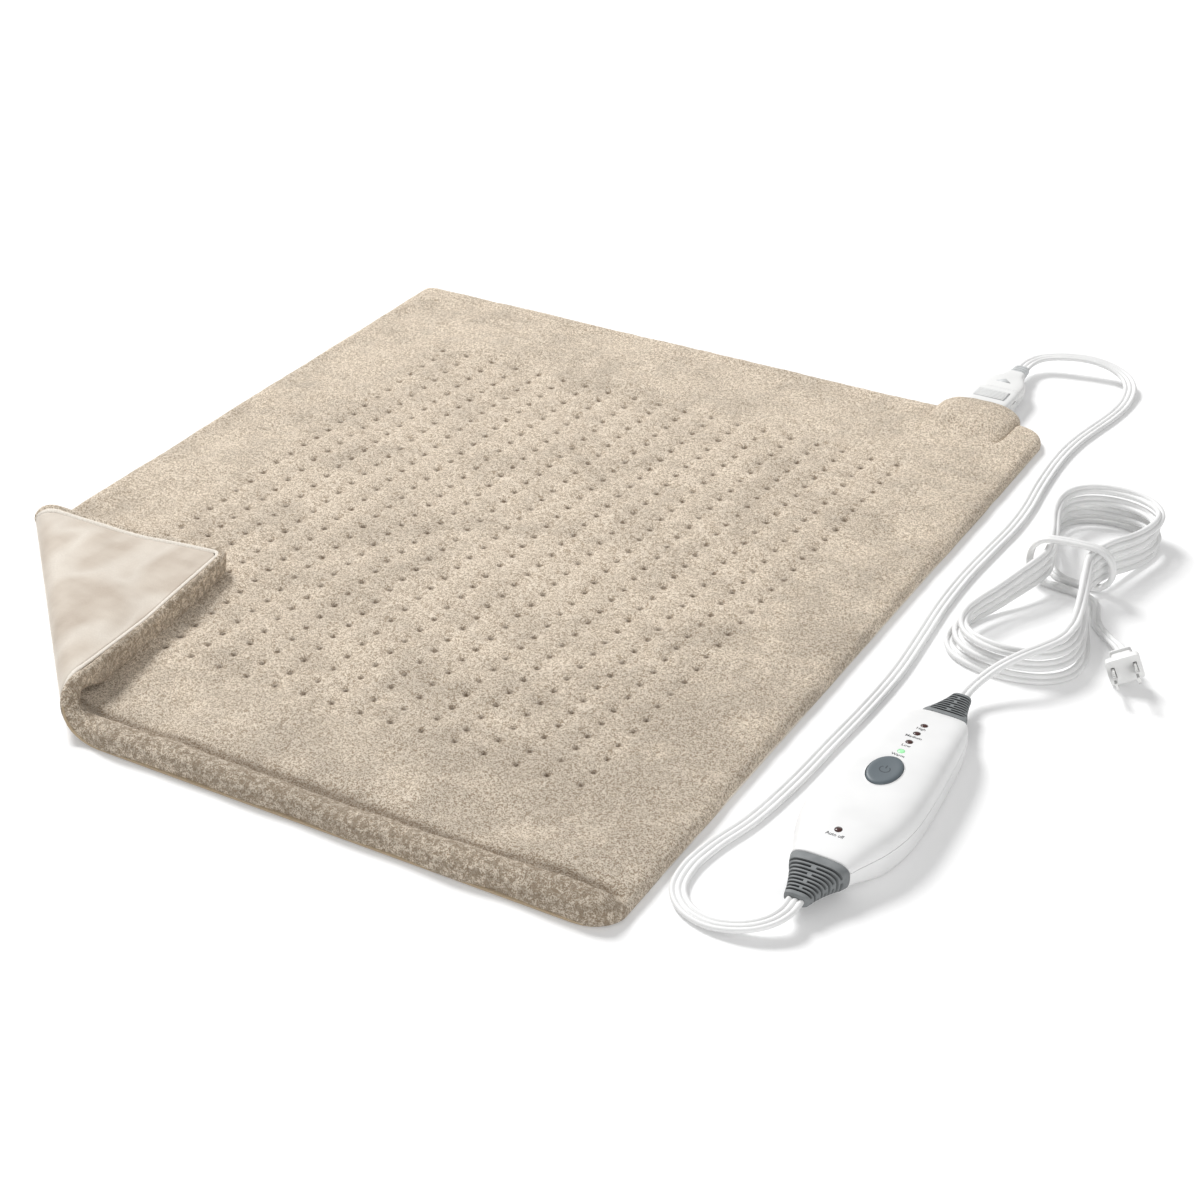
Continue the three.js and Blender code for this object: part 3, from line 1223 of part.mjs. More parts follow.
// Ribbed strain relief: slots all round, bridged in turn at the sides and at the top and bottom
function makeBoot(name, boot, side, endShares, group) {
  const start = side * (controller.length / 2 + clearance);
  const collarHalf = controller.halfWidth * endShares[1];
  const collarTop = controller.height * endShares[2];
  const collarBottom = controller.height * endShares[3];
  const taperShares = [[0, 0], [0.08, 0.02], [0.18, 0.16], [0.34, 0.39], [0.54, 0.62], [0.77, 0.84], [1, 1]];
  const mix = (from, to, share) => from + (to - from) * share;
  const rings = (scale, extra) => taperShares.map(([lengthShare, taper], i) => {
    const halfWidth = mix(collarHalf, boot.endHalfWidth, taper);
    const top = mix(collarTop, boot.endTop, taper);
    const bottom = mix(collarBottom, boot.endBottom, taper);
    const middle = (top + bottom) / 2;
    const reach = ((top - bottom) / 2) * scale;
    const past = extra * (i === 0 ? -1 : i === taperShares.length - 1 ? 1 : 0);
    return section(
      start + side * (lengthShare * boot.length + past), halfWidth * scale, middle - reach, middle + reach,
      middle, 12, 2.8, 2.8
    );
  });
  const body = solidOf(ringSolid(rings(1, 0)));
  const core = solidOf(ringSolid(rings(boot.coreShare, overrun)));
  const slots = [];
  for (let i = 0; i < boot.slots; i++) {
    const from = start + side * (boot.collar + i * boot.slotPitch);
    const to = from + side * boot.slotWidth;
    const slab = block(
      -collarHalf - overrun, collarHalf + overrun, Math.min(from, to), Math.max(from, to), -overrun,
      collarTop + overrun
    );
    const bridge = i % 2 === 0
      ? block(
        -wide, wide, -wide, wide, (boot.endTop + boot.endBottom - boot.bridge) / 2,
        (boot.endTop + boot.endBottom + boot.bridge) / 2
      )
      : block(-boot.bridge / 2, boot.bridge / 2, -wide, wide, -wide, wide);
    slots.push(cut(slab, core, bridge));
  }
  const neckEnd = (side * controller.length) / 2 - side * controller.wall * 2;
  const neckMiddle = (boot.endTop + boot.endBottom) / 2;
  const flangeRings = [
    neckEnd - side * clearance, neckEnd - side * (clearance + boot.flangeThickness)
  ].map((y) => section(
    y, boot.neckHalfWidth + boot.flange, neckMiddle - boot.neckHalfHeight - boot.flange / 2,
    neckMiddle + boot.neckHalfHeight + boot.flange / 2, neckMiddle, 12, 3, 3,
  ));
  const neckRings = [
    start + side * boot.collar / 2, neckEnd - side * (clearance + boot.flangeThickness / 2)
  ].map((y) => section(
    y, boot.neckHalfWidth, neckMiddle - boot.neckHalfHeight, neckMiddle + boot.neckHalfHeight, neckMiddle,
    12, 3, 3,
  ));
  const neck = solidOf(ringSolid(neckRings));
  const flange = solidOf(ringSolid(flangeRings));
  piece(name, joined(cut(body, ...slots), neck, flange).simplify(fold.flatness), greyRubber, group);
}

// Mains plug, in its own frame: the blades point along +Y and the mating face is at y = 0
function makePlug() {
  const group = new THREE.Group();
  group.position.set(plug.x, plug.y, plug.z);
  group.rotation.order = 'ZXY';
  group.rotation.z = THREE.MathUtils.degToRad(plug.heading - 90);
  group.rotation.x = THREE.MathUtils.degToRad(plug.pitch);
  group.rotation.y = THREE.MathUtils.degToRad(plug.roll);
  root.add(group);
  const shares = [
    [1, 0, 0], [0.89, 0, 0], [0.88, -0.2, -0.8], [0.6, -0.1, -0.3], [0.34, 0.4, 0.35], [0.3, 0.85, 0.8],
    [0.28, 1, 1], [0, 1, 1]
  ];
  const rings = shares.map(([backShare, widthShare, heightShare]) => {
    const halfWidth = plug.endHalfWidth + widthShare * (plug.halfWidth - plug.endHalfWidth);
    const halfHeight = plug.endHalfHeight + heightShare * (plug.halfHeight - plug.endHalfHeight);
    return section(-backShare * plug.length, halfWidth, -halfHeight, halfHeight, 0, 20, 9, 9);
  });
  const pockets = [-1, 1].map((side) => {
    const x = (side * blade.pitch) / 2;
    const halfThick = blade.thickness / 2 + clearance;
    return block(
      x - halfThick, x + halfThick, -blade.root - clearance, overrun, -blade.width / 2 - clearance,
      blade.width / 2 + clearance
    );
  });
  piece('plug_body', cut(solidOf(ringSolid(rings)), ...pockets), whitePlastic, group);
  for (const [name, side] of [['plug_blade_1', -1], ['plug_blade_2', 1]]) {
    const shape = new THREE.Shape([
      [-blade.root, -blade.width / 2], [blade.length - blade.tip, -blade.width / 2],
      [blade.length, -blade.width / 2 + blade.tip],
      [blade.length, blade.width / 2 - blade.tip], [blade.length - blade.tip, blade.width / 2],
      [-blade.root, blade.width / 2],
    ].map(([y, z]) => new THREE.Vector2(y, z)));
    const hole = new THREE.Path();
    hole.absarc(blade.length - blade.holeFromTip, 0, blade.holeRadius, 0, 2 * Math.PI, true);
    shape.holes.push(hole);
    const plate = new THREE.ExtrudeGeometry(
      shape, { depth: blade.thickness, bevelEnabled: false, curveSegments: 5 }
    );
    plate.translate(0, 0, -blade.thickness / 2).applyMatrix4(new THREE.Matrix4().makeBasis(
      new THREE.Vector3(0, 1, 0), new THREE.Vector3(0, 0, 1), new THREE.Vector3(1, 0, 0),
    )).translate((side * blade.pitch) / 2, 0, 0);
    piece(name, plate, steel, group);
  }
  group.updateMatrixWorld(true);
  return [plug.length * 1.6, plug.length + clearance].map(
    (back) => new THREE.Vector3(0, -back, 0).applyMatrix4(group.matrixWorld)
  );
}

makePad();
makeReceptacle();
makeSleeve();
const reliefEnd = makeCoupler();
const plugBack = makePlug();
makeController();
const leadLength = makeLeadCord(reliefEnd);
const supplyStart = makeSupplyLead();
const wound = makeHank();
const supplyEnd = makeSupplyTail(plugBack);
console.log(
  `lead cord ${leadLength.toFixed(0)} mm, supply cord ${(supplyStart + wound.length + supplyEnd).toFixed(0)} mm`
);
console.log(`least gap between the hank's turns ${wound.least.toFixed(2)} mm at ${wound.spot.join(' ')}`);

export default root;
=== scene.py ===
# %% [markdown]
# This notebook gives a plush heating pad and its hand controller their looks.
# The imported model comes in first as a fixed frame. Every piece made here takes the
# place that the frame gives it, so nothing has to be fitted by eye.

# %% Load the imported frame
import math

import bmesh
import bpy
import numpy as np
from mathutils import Matrix, Vector


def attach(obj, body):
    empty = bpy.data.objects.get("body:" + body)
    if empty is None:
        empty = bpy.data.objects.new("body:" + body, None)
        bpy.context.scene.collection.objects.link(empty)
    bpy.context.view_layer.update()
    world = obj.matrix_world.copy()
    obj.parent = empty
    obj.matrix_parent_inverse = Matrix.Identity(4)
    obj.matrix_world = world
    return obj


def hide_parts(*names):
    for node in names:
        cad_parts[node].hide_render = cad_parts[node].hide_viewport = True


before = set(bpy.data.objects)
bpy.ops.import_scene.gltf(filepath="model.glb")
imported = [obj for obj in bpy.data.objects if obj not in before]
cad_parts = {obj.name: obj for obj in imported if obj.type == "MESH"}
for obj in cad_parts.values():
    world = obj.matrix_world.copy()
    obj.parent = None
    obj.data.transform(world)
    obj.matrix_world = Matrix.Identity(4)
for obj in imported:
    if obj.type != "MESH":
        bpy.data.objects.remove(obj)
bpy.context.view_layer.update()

MM = 0.001
IN_METRES = Matrix.Scale(MM, 4)

# %% [markdown]
# The camera comes before any piece. It was worked out from the four corners of the
# pad, and it has neither shift nor blur, so other views can be taken with it too.

# %% Camera
camera_data = bpy.data.cameras.new("photo_camera")
camera_data.lens = 68.76
camera_data.sensor_width = 36
camera = bpy.data.objects.new("photo_camera", camera_data)
camera.location = (0.682707, -1.06674, 0.714034)
camera.rotation_euler = (math.radians(59.059), 0, math.radians(29.723))
bpy.context.scene.collection.objects.link(camera)
bpy.context.scene.camera = camera
print("camera looks from", tuple(camera.location))

# %% [markdown]
# A finish is one principled shader. What is the same all over the surface is set on
# the shader itself, and only what varies, such as grain, comes from other nodes.
# The grain reads Object coordinates, which need no unwrapping and stay on the piece.

# %% A finish and its grain
def new_finish(name, color, roughness, constants=None):
    """A principled material with its even values set on the shader."""
    finish = bpy.data.materials.new(name)
    finish.use_nodes = True
    shader = finish.node_tree.nodes["Principled BSDF"]
    shader.inputs["Base Color"].default_value = (*color, 1)
    shader.inputs["Roughness"].default_value = roughness
    for socket, value in (constants or {}).items():
        shader.inputs[socket].default_value = value
    return finish


def grain(finish, spot, detail=2.0, stretch=(1, 1, 1)):
    """Noise with spots about that many millimetres across."""
    nodes, links = finish.node_tree.nodes, finish.node_tree.links
    place = nodes.new("ShaderNodeTexCoord")
    mapping = nodes.new("ShaderNodeMapping")
    mapping.inputs["Scale"].default_value = stretch
    noise = nodes.new("ShaderNodeTexNoise")
    noise.inputs["Scale"].default_value = 1 / (spot * MM)
    noise.inputs["Detail"].default_value = detail
    links.new(place.outputs["Object"], mapping.inputs["Vector"])
    links.new(mapping.outputs["Vector"], noise.inputs["Vector"])
    return noise.outputs["Fac"]


def spread(finish, value, low, high, from_low=0.3, from_high=0.7):
    """Stretch a value's useful range to the range from low to high."""
    nodes, links = finish.node_tree.nodes, finish.node_tree.links
    reach = nodes.new("ShaderNodeMapRange")
    reach.inputs["From Min"].default_value = from_low
    reach.inputs["From Max"].default_value = from_high
    reach.inputs["To Min"].default_value = low
    reach.inputs["To Max"].default_value = high
    links.new(value, reach.inputs["Value"])
    return reach.outputs["Result"]


# %% Colours, sums and bump from grain
def tint(finish, factor, first, second):
    """A colour between two others. Each is three numbers or another node's colour."""
    nodes, links = finish.node_tree.nodes, finish.node_tree.links
    mix = nodes.new("ShaderNodeMix")
    mix.data_type = "RGBA"
    links.new(factor, mix.inputs[0])
    for socket, color in ((mix.inputs[6], first), (mix.inputs[7], second)):
        if isinstance(color, bpy.types.NodeSocket):
            links.new(color, socket)
        else:
            socket.default_value = (*color, 1)
    return mix.outputs[2]


def combine(finish, operation, first, second):
    """A sum, product or the like of two values."""
    nodes, links = finish.node_tree.nodes, finish.node_tree.links
    sum_node = nodes.new("ShaderNodeMath")
    sum_node.operation = operation
    for socket, value in zip(sum_node.inputs, (first, second)):
        if isinstance(value, bpy.types.NodeSocket):
            links.new(value, socket)
        else:
            socket.default_value = value
    return sum_node.outputs[0]


def feed(finish, socket, value):
    """Lead a node's value into the shader."""
    shader = finish.node_tree.nodes["Principled BSDF"]
    finish.node_tree.links.new(value, shader.inputs[socket])


def roughen(finish, height, depth, strength=1.0):
    """Bump of that many millimetres from a value between 0 and 1."""
    nodes, links = finish.node_tree.nodes, finish.node_tree.links
    bump = nodes.new("ShaderNodeBump")
    bump.inputs["Distance"].default_value = depth * MM
    bump.inputs["Strength"].default_value = strength
    links.new(height, bump.inputs["Height"])
    feed(finish, "Normal", bump.outputs["Normal"])


# %% [markdown]
# Moulded white plastic is never quite even: the mould leaves a fine orange peel, and
# handling leaves some places duller than others. A small bump and a slow change of
# roughness give that without any visible pattern.

# %% Moulded plastics and rubber
def moulded(name, color, roughness, peel=0.35, depth=0.012, coat=0.0):
    """Injection-moulded plastic: slight peel, uneven gloss and a faint cast of colour."""
    finish = new_finish(name, color, roughness, {"Coat Weight": coat, "Coat Roughness": 0.15})
    roughen(finish, grain(finish, peel, 3), depth, 0.6)
    feed(finish, "Roughness", spread(finish, grain(finish, 14, 3), roughness - 0.06, roughness + 0.08))
    darker = tuple(0.95 * channel for channel in color)
    feed(finish, "Base Color", tint(finish, spread(finish, grain(finish, 22, 2), 0, 1), color, darker))
    return finish


housing_white = moulded("housing_white", (0.90, 0.90, 0.897), 0.42)
connector_white = moulded("connector_white", (0.87, 0.87, 0.86), 0.4)
jacket_white = moulded("jacket_white", (0.88, 0.88, 0.875), 0.45, peel=0.8, depth=0.03)
ledge_grey = moulded("ledge_grey", (0.64, 0.655, 0.66), 0.45)
print("white plastics ready")


# %% [markdown]
# Most hard pieces and both cords are skins through a row of rings. A circle gives the
# first ring its points, and each extrusion of its edges gives the next one. A number
# kept on every point tells which point of the ring it is, since the operator doesn't
# promise an order.

# %% Loft, block, post and spun shapes
def loft(rings, capped=True):
    """A skin through rings that all have the same number of points."""
    shape = bmesh.new()
    spot = shape.verts.layers.int.new("spot")
    ring = bmesh.ops.create_circle(shape, segments=len(rings[0]), radius=1)["verts"]
    for index, vert in enumerate(ring):
        vert[spot] = index
        vert.co = rings[0][index]
    edges = list(shape.edges)
    for places in rings[1:]:
        grown = bmesh.ops.extrude_edge_only(shape, edges=edges)["geom"]
        edges = [g for g in grown if isinstance(g, bmesh.types.BMEdge) and g.is_boundary]
        for vert in (g for g in grown if isinstance(g, bmesh.types.BMVert)):
            vert.co = places[vert[spot]]
    if capped:
        rims = [edge for edge in shape.edges if edge.is_boundary]
        bmesh.ops.holes_fill(shape, edges=rims, sides=0)
    bmesh.ops.recalc_face_normals(shape, faces=shape.faces)
    return shape


def block(low, high):
    """A box between two corners."""
    shape = bmesh.new()
    low, high = Vector(low), Vector(high)
    size = Matrix.Diagonal((high - low).to_4d())
    size[3][3] = 1
    bmesh.ops.create_cube(shape, size=1, matrix=Matrix.Translation((low + high) / 2) @ size)
    return shape


def post(centre, half_width, half_length, z0, z1, segments=48):
    """An upright post, round or oval."""
    shape = bmesh.new()
    size = Matrix.Diagonal((half_width, half_length, z1 - z0, 1))
    place = Matrix.Translation((centre[0], centre[1], (z0 + z1) / 2))
    bmesh.ops.create_cone(
        shape, cap_ends=True, segments=segments, radius1=1, radius2=1, depth=1, matrix=place @ size
    )
    return shape


def spun(profile, steps=48):
    """A shape of revolution about Z, from points (radius, height) that start and end on the axis."""
    shape = bmesh.new()
    line = [shape.verts.new((radius, 0, height)) for radius, height in profile]
    edges = [shape.edges.new(pair) for pair in zip(line, line[1:])]
    bmesh.ops.spin(
        shape, geom=line + edges, axis=(0, 0, 1), cent=(0, 0, 0), angle=2 * math.pi,
        steps=steps, use_merge=True,
    )
    bmesh.ops.remove_doubles(shape, verts=shape.verts, dist=0.0005)
    bmesh.ops.recalc_face_normals(shape, faces=shape.faces)
    return shape


# %% Cut one shape with others, move it, and keep it as a piece
def carve(shape, *tools):
    """Take the tools' room out of a shape with exact booleans."""
    loose = []
    for index, part in enumerate((shape, *tools)):
        data = bpy.data.meshes.new("loose")
        part.to_mesh(data)
        part.free()
        loose.append(bpy.data.objects.new("loose", data))
        bpy.context.scene.collection.objects.link(loose[-1])
        if index:
            cut = loose[0].modifiers.new("cut", "BOOLEAN")
            cut.operation, cut.solver, cut.object = "DIFFERENCE", "EXACT", loose[-1]
    bpy.context.view_layer.update()
    result = bmesh.new()
    result.from_object(loose[0], bpy.context.evaluated_depsgraph_get())
    for item in loose:
        data = item.data
        bpy.data.objects.remove(item)
        bpy.data.meshes.remove(data)
    return result


def moved(shape, matrix):
    bmesh.ops.transform(shape, matrix=matrix, verts=shape.verts)
    return shape


def joined(*shapes):
    """Several shapes in one mesh."""
    whole = bmesh.new()
    for shape in shapes:
        data = bpy.data.meshes.new("loose")
        shape.to_mesh(data)
        shape.free()
        whole.from_mesh(data)
        bpy.data.meshes.remove(data)
    return whole


def keep(name, shape, finish, body, stands_for=(), crease=35, at=None):
    """Make a mesh in millimetres a piece of the object: smooth, with sharp edges past the crease angle."""
    moved(shape, IN_METRES if at is None else at @ IN_METRES)
    for edge in shape.edges:
        edge.smooth = len(edge.link_faces) != 2 or edge.calc_face_angle() < math.radians(crease)
    data = bpy.data.meshes.new(name)
    shape.to_mesh(data)
    shape.free()
    data.polygons.foreach_set("use_smooth", [True] * len(data.polygons))
    piece = bpy.data.objects.new(name, data)
    bpy.context.scene.collection.objects.link(piece)
    data.materials.append(finish)
    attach(piece, body)
    if stands_for:
        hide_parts(*stands_for)
    print(name, "has", len(data.polygons), "faces")
    return piece


def round_edges(piece, width, angle=38, segments=2):
    """A small live bevel on the sharp edges, width in millimetres."""
    bevel = piece.modifiers.new("edge", "BEVEL")
    bevel.width, bevel.segments = width * MM, segments
    bevel.limit_method, bevel.angle_limit = "ANGLE", math.radians(angle)
    bevel.harden_normals = False
    return piece


# %% [markdown]
# The mains plug is a flat block with a flange at its face and a taper to the cord. It
# is lofted from rounded rectangles, in a frame whose Y axis runs along the blades. It
# is made before the cords, because the supply cord carries it.

# %% Rounded rectangles and the plug
def rounded(half_width, half_height, power, count=40):
    """Points round a superellipse, from an ellipse at 2 to a box at high powers."""
    turns = [2 * math.pi * i / count for i in range(count)]
    return [
        (
            half_width * math.copysign(abs(math.cos(turn)) ** (2 / power), math.cos(turn)),
            half_height * math.copysign(abs(math.sin(turn)) ** (2 / power), math.sin(turn)),
        )
        for turn in turns
    ]


PLUG_AT = (
    Matrix.Translation((0.3985, 0.0323, 0.0109))
    @ Matrix.Rotation(math.radians(-157), 4, "Z")
    @ Matrix.Rotation(math.radians(7.9), 4, "X")
    @ Matrix.Rotation(math.radians(21.7), 4, "Y")
)
plug_rows = [  # distance back from the face, half width, half height
    (18, 6.0, 5.6), (17.8, 6.25, 5.85), (17.4, 6.4, 6.0), (16.2, 6.4, 6.0), (16.0, 6.25, 5.75), (15.8, 5.7, 4.6),
    (10.8, 6.05, 5.46), (7.6, 6.95, 6.05), (6.1, 7.8, 6.65), (5.55, 8.9, 7.2), (5.2, 9.6, 7.6), (4.9, 9.9, 7.8),
    (0.4, 9.9, 7.8), (0.12, 9.78, 7.68), (0, 9.5, 7.4),
]
plug_rings = [[(x, -back, z) for x, z in rounded(w, h, 9, 56)] for back, w, h in plug_rows]
blade_pockets = [
    block((side * 6.35 - 1.05, -4.3, -3.475), (side * 6.35 + 1.05, 0.5, 3.475)) for side in (-1, 1)
]
plug = keep(
    "plug_moulding", carve(loft(plug_rings), *blade_pockets), connector_white, "control_set",
    ["plug_body"], at=PLUG_AT,
)

# %% [markdown]
# A cord is a fixed length of something that bends, so it is a mesh tube swept along a
# measured line. The line is a smooth curve through the same points as the model's
# routes. Each point also carries the way that the cord's wide side faces, because a
# flat cord lies down on the table but stands on its narrow edge in the wound hank.

# %% A smooth line through points
def flow(points, step=None, count=None):
    """Even points along a centripetal curve. Columns past the third ride along."""
    spots = np.asarray(points, float)
    spots = np.vstack([2 * spots[0] - spots[1], spots, 2 * spots[-1] - spots[-2]])
    fine = []
    for a, b, c, d in zip(spots[:-3], spots[1:-2], spots[2:-1], spots[3:]):
        before, here, after = (
            max(np.linalg.norm((q - p)[:3]) ** 0.5, 1e-6) for p, q in ((a, b), (b, c), (c, d))
        )
        out = ((b - a) / before - (c - a) / (before + here) + (c - b) / here) * here
        into = ((c - b) / here - (d - b) / (here + after) + (d - c) / after) * here
        t = np.linspace(0, 1, 24, endpoint=False)[:, None]
        fine.append(
            (2 * t**3 - 3 * t**2 + 1) * b + (t**3 - 2 * t**2 + t) * out
            + (3 * t**2 - 2 * t**3) * c + (t**3 - t**2) * into
        )
    fine = np.vstack(fine + [spots[-2][None]])
    run = np.concatenate([[0], np.cumsum(np.linalg.norm(np.diff(fine[:, :3], axis=0), axis=1))])
    count = count or max(int(run[-1] / step) + 1, 2)
    at = np.linspace(0, run[-1], count)
    return np.column_stack([np.interp(at, run, column) for column in fine.T])


def line_length(line):
    return float(np.linalg.norm(np.diff(line[:, :3], axis=0), axis=1).sum())


# %% The section of a flat cord, and its sweep
def cord_outline(width, thickness, cores, groove):
    """Cores side by side under one skin, as points (across, up)."""
    radius = thickness / 2
    pitch = (width - thickness) / (cores - 1)
    upper = []
    for core in range(cores):
        middle = (core - (cores - 1) / 2) * pitch
        first, last = (180 if core == 0 else 128), (0 if core == cores - 1 else 52)
        for degrees in np.linspace(first, last, 5 + 2 * (core in (0, cores - 1))):
            turn = math.radians(degrees)
            upper.append((middle + radius * math.cos(turn), radius * math.sin(turn)))
        if core < cores - 1:
            upper.append((middle + pitch / 2, radius - groove))
    return upper + [(across, -up) for across, up in upper[-2:0:-1]]


def swept(line, outline):
    """A tube of that outline along a line of rows: place, then the way of the wide side."""
    along = np.gradient(line[:, :3], axis=0)
    along /= np.linalg.norm(along, axis=1)[:, None]
    across = line[:, 3:6] - (line[:, 3:6] * along).sum(1)[:, None] * along
    across /= np.linalg.norm(across, axis=1)[:, None]
    up = np.cross(along, across)
    section = np.asarray(outline)
    rings = (
        line[:, None, :3] + section[None, :, :1] * across[:, None, :] + section[None, :, 1:] * up[:, None, :]
    )
    return loft(rings.tolist())


def lying_flat(points, flip=1):
    """Add the wide side's way to points of a cord that lies flat on the table."""
    spots = np.asarray(points, float)
    along = np.gradient(spots, axis=0)
    across = np.column_stack([-along[:, 1], along[:, 0], 0 * along[:, 0]]) * flip
    return np.column_stack([spots, across / np.linalg.norm(across, axis=1)[:, None]])


# %% [markdown]
# The lead cord has three cores. It leaves the connector, turns to the right, drops to
# the table and runs round the pad's right side to the lower end of the controller.

# %% Lead cord
CONTROLLER_AT = Matrix.Translation((0.327, -0.14275, 0)) @ Matrix.Rotation(math.radians(-0.8), 4, "Z")


def by_controller(y, z):
    """A point on the controller's own centre plane, in the whole object's millimetres."""
    spot = CONTROLLER_AT @ Vector((0, y * MM, z * MM))
    return tuple(spot / MM)


lead_points = [
    (203, 387.9, 8.2), (203, 394.2, 8.2), (204.4, 401.4, 8.6), (208.6, 408, 9.6), (215, 412, 10.6),
    (226, 415.4, 11.8), (242.5, 418.6, 12), (259, 418, 10), (271, 412.6, 7.4), (278, 403, 5),
    (281.2, 388, 2.8), (281.4, 371, 2.05), (279.2, 352, 2), (275.6, 332, 2), (272.4, 312, 2),
    (270.8, 292, 2), (270.8, 270, 2), (273, 236, 2), (276.6, 202, 2), (277.6, 172, 2), (276, 138, 2),
    (274.6, 100, 2), (275.6, 60, 2), (279, 20, 2), (281.8, -20, 2), (281.6, -60, 2), (279.4, -105, 2),
    (277.2, -150, 2), (272.6, -190, 2), (265.6, -219, 2), (263.2, -241, 2), (267, -260, 2),
    (278, -271.6, 2.1), (292.5, -276, 2.6), (306, -274.4, 4.4), (315, -270.6, 6.2), (321.6, -264.8, 8),
    by_controller(-114.75, 9.8), by_controller(-105.35, 10),
]
lead_line = flow(lying_flat(lead_points), step=2.4)
lead_cord = keep(
    "lead_cord_jacket", swept(lead_line, cord_outline(9.4, 3, 3, 0.85)), jacket_white, "control_set",
    ["lead_cord"], crease=60,
)
print("lead cord is", round(line_length(lead_line)), "mm long")

# %% [markdown]
# The supply cord has two cores. It is one length: out of the controller, three and a
# half turns of a hank in the shape of an eight, once round the waist as a tie, and
# out to the plug. A turn is a formula, so the turns lie evenly on each other.

# %% One turn of the hank
def smooth_ramp(value, low, high):
    share = np.clip((value - low) / (high - low), 0, 1)
    return share * share * (3 - 2 * share)


def hank_point(angle, bulge, arm, level, lifted=True):
    """A point of a turn: two lobes, drawn in and raised where they cross at the waist."""
    across, along = math.cos(angle), math.sin(angle)
    reach = arm * math.copysign(abs(along) ** 1.25, along)
    hump = 4.4 * (1 - smooth_ramp(abs(reach) - 15, 0, 40)) if lifted else 0
    x = 333.2 + 0.014 * reach + across * (13.2 + bulge * along**2)
    return np.array((x, 118 + reach, level + hump))


def tipped(out_x, out_y):
    """The wide side's way where its flat side faces up and to the front right."""
    return (out_x, out_y, float(np.clip(out_y - out_x, -1, 1)))


hank_turns = [(60, 99, 65, 106), (57, 95, 71, 109), (62, 93, 81, 112), (60, 94, 0, 0)]
hank_rows = []
for turn, (upper_bulge, upper_arm, lower_bulge, lower_arm) in enumerate(hank_turns):
    last = turn == len(hank_turns) - 1
    for angle in np.linspace(0, 2 * math.pi, 36, endpoint=False):
        if last and angle > 2.66:
            break
        climb = 0 if last else smooth_ramp(angle, 0.72 * math.pi, 1.28 * math.pi)
        bulge, arm = (upper_bulge, upper_arm) if angle < math.pi else (lower_bulge, lower_arm)
        level = 21.79 - 6.3 * (turn + climb)
        onward = (hank_point(angle + 0.01, bulge, arm, level) - hank_point(angle - 0.01, bulge, arm, level))[:2]
        onward /= np.linalg.norm(onward)
        place = hank_point(angle, bulge, arm, level, not (last and angle > math.pi / 2))
        hank_rows.append((*place, *tipped(onward[1], -onward[0])))
print("hank turns hold", len(hank_rows), "points")

# %% The way in, the tie round the waist and the way out to the plug
supply_start = lying_flat([
    by_controller(104.35, 9.5), by_controller(114.25, 9.5), (331.2, -20, 11.8), (337.4, -7.5, 16),
    (345.6, 4, 19.6), (353.6, 17, 20.8), (358.8, 28, 21), (361, 38, 21),
], flip=-1)
entry_places = [(361, 43, 21), (361, 49, 21), (359.8, 58, 21.3), (357.6, 69, 22), (354.4, 83, 23.6), (350.2, 100, 25.4)]
entry = [(*place, 1, 0, -i / 6) for i, place in enumerate(entry_places)]
tie = [
    (314.6, 142.5, 2.8, *tipped(-0.9, -0.4)), (317.8, 135.2, 2.5, *tipped(-0.8, -0.6)),
    (323, 130.2, 2.1, *tipped(-0.6, -0.8)), (329.5, 127.6, 1.8, 0, -1, 0), (337, 126.9, 1.75, 0, -1, 0),
]
tie_corners = [  # centre x and z, angles, y from and to
    (345.2, 15.65, -90, 126.8, 125.3), (345.2, 17.3, 0, 124.9, 123.4),
    (322.1, 17.3, 90, 121.4, 119.9), (322.1, 15.65, 180, 119.5, 118),
]
for centre_x, centre_z, first, y0, y1 in tie_corners:
    for share in (0, 0.25, 0.5, 0.75, 1):
        turn = math.radians(first + 90 * share)
        x, z = centre_x + 13.9 * math.cos(turn), centre_z + 13.9 * math.sin(turn)
        tie.append((x, y0 + (y1 - y0) * share, z, 0, -1, 0))
tie += [(330, 116.9, 1.75, 0, -1, 0), (338, 116.4, 1.75, 0, -1, 0)]
plug_back = [tuple(PLUG_AT @ Vector((0, -back * MM, 0)) / MM) for back in (28.8, 18.3)]
tail = lying_flat([
    (344.5, 114.72, 1.75), (349.3, 113.2, 1.75), (353.8, 109.6, 1.75), (356.9, 104.2, 1.75), (359, 97.6, 1.75),
    (361.8, 90.6, 1.8), (366, 83.6, 2.1), (372.2, 76.4, 2.9), (379.2, 68.4, 4.6), *plug_back,
], flip=-1)
tail[-2:, 3:] = PLUG_AT.to_3x3() @ Vector((1, 0, 0))
tail[0, 3:] = (-0.26, -0.96, 0)
print("tie has", len(tie), "points")

# %% Supply cord
supply_line = flow(np.vstack([supply_start, entry, hank_rows, tie, tail]), step=2.6)
supply_cord = keep(
    "supply_cord_jacket", swept(supply_line, cord_outline(6.6, 3.4, 2, 0.85)), jacket_white, "control_set",
    ["supply_cord_lead", "supply_cord_hank", "supply_cord_tail"], crease=60,
)
print("supply cord is", round(line_length(supply_line)), "mm long")

# %% [markdown]
# The pad is made flat and then bent round its turned-over corner, which keeps the
# plush and the lining parallel through the fold. The bend has five stretches: a lift
# off the table, a tight roll, a slope down, an easing and a flat rest.

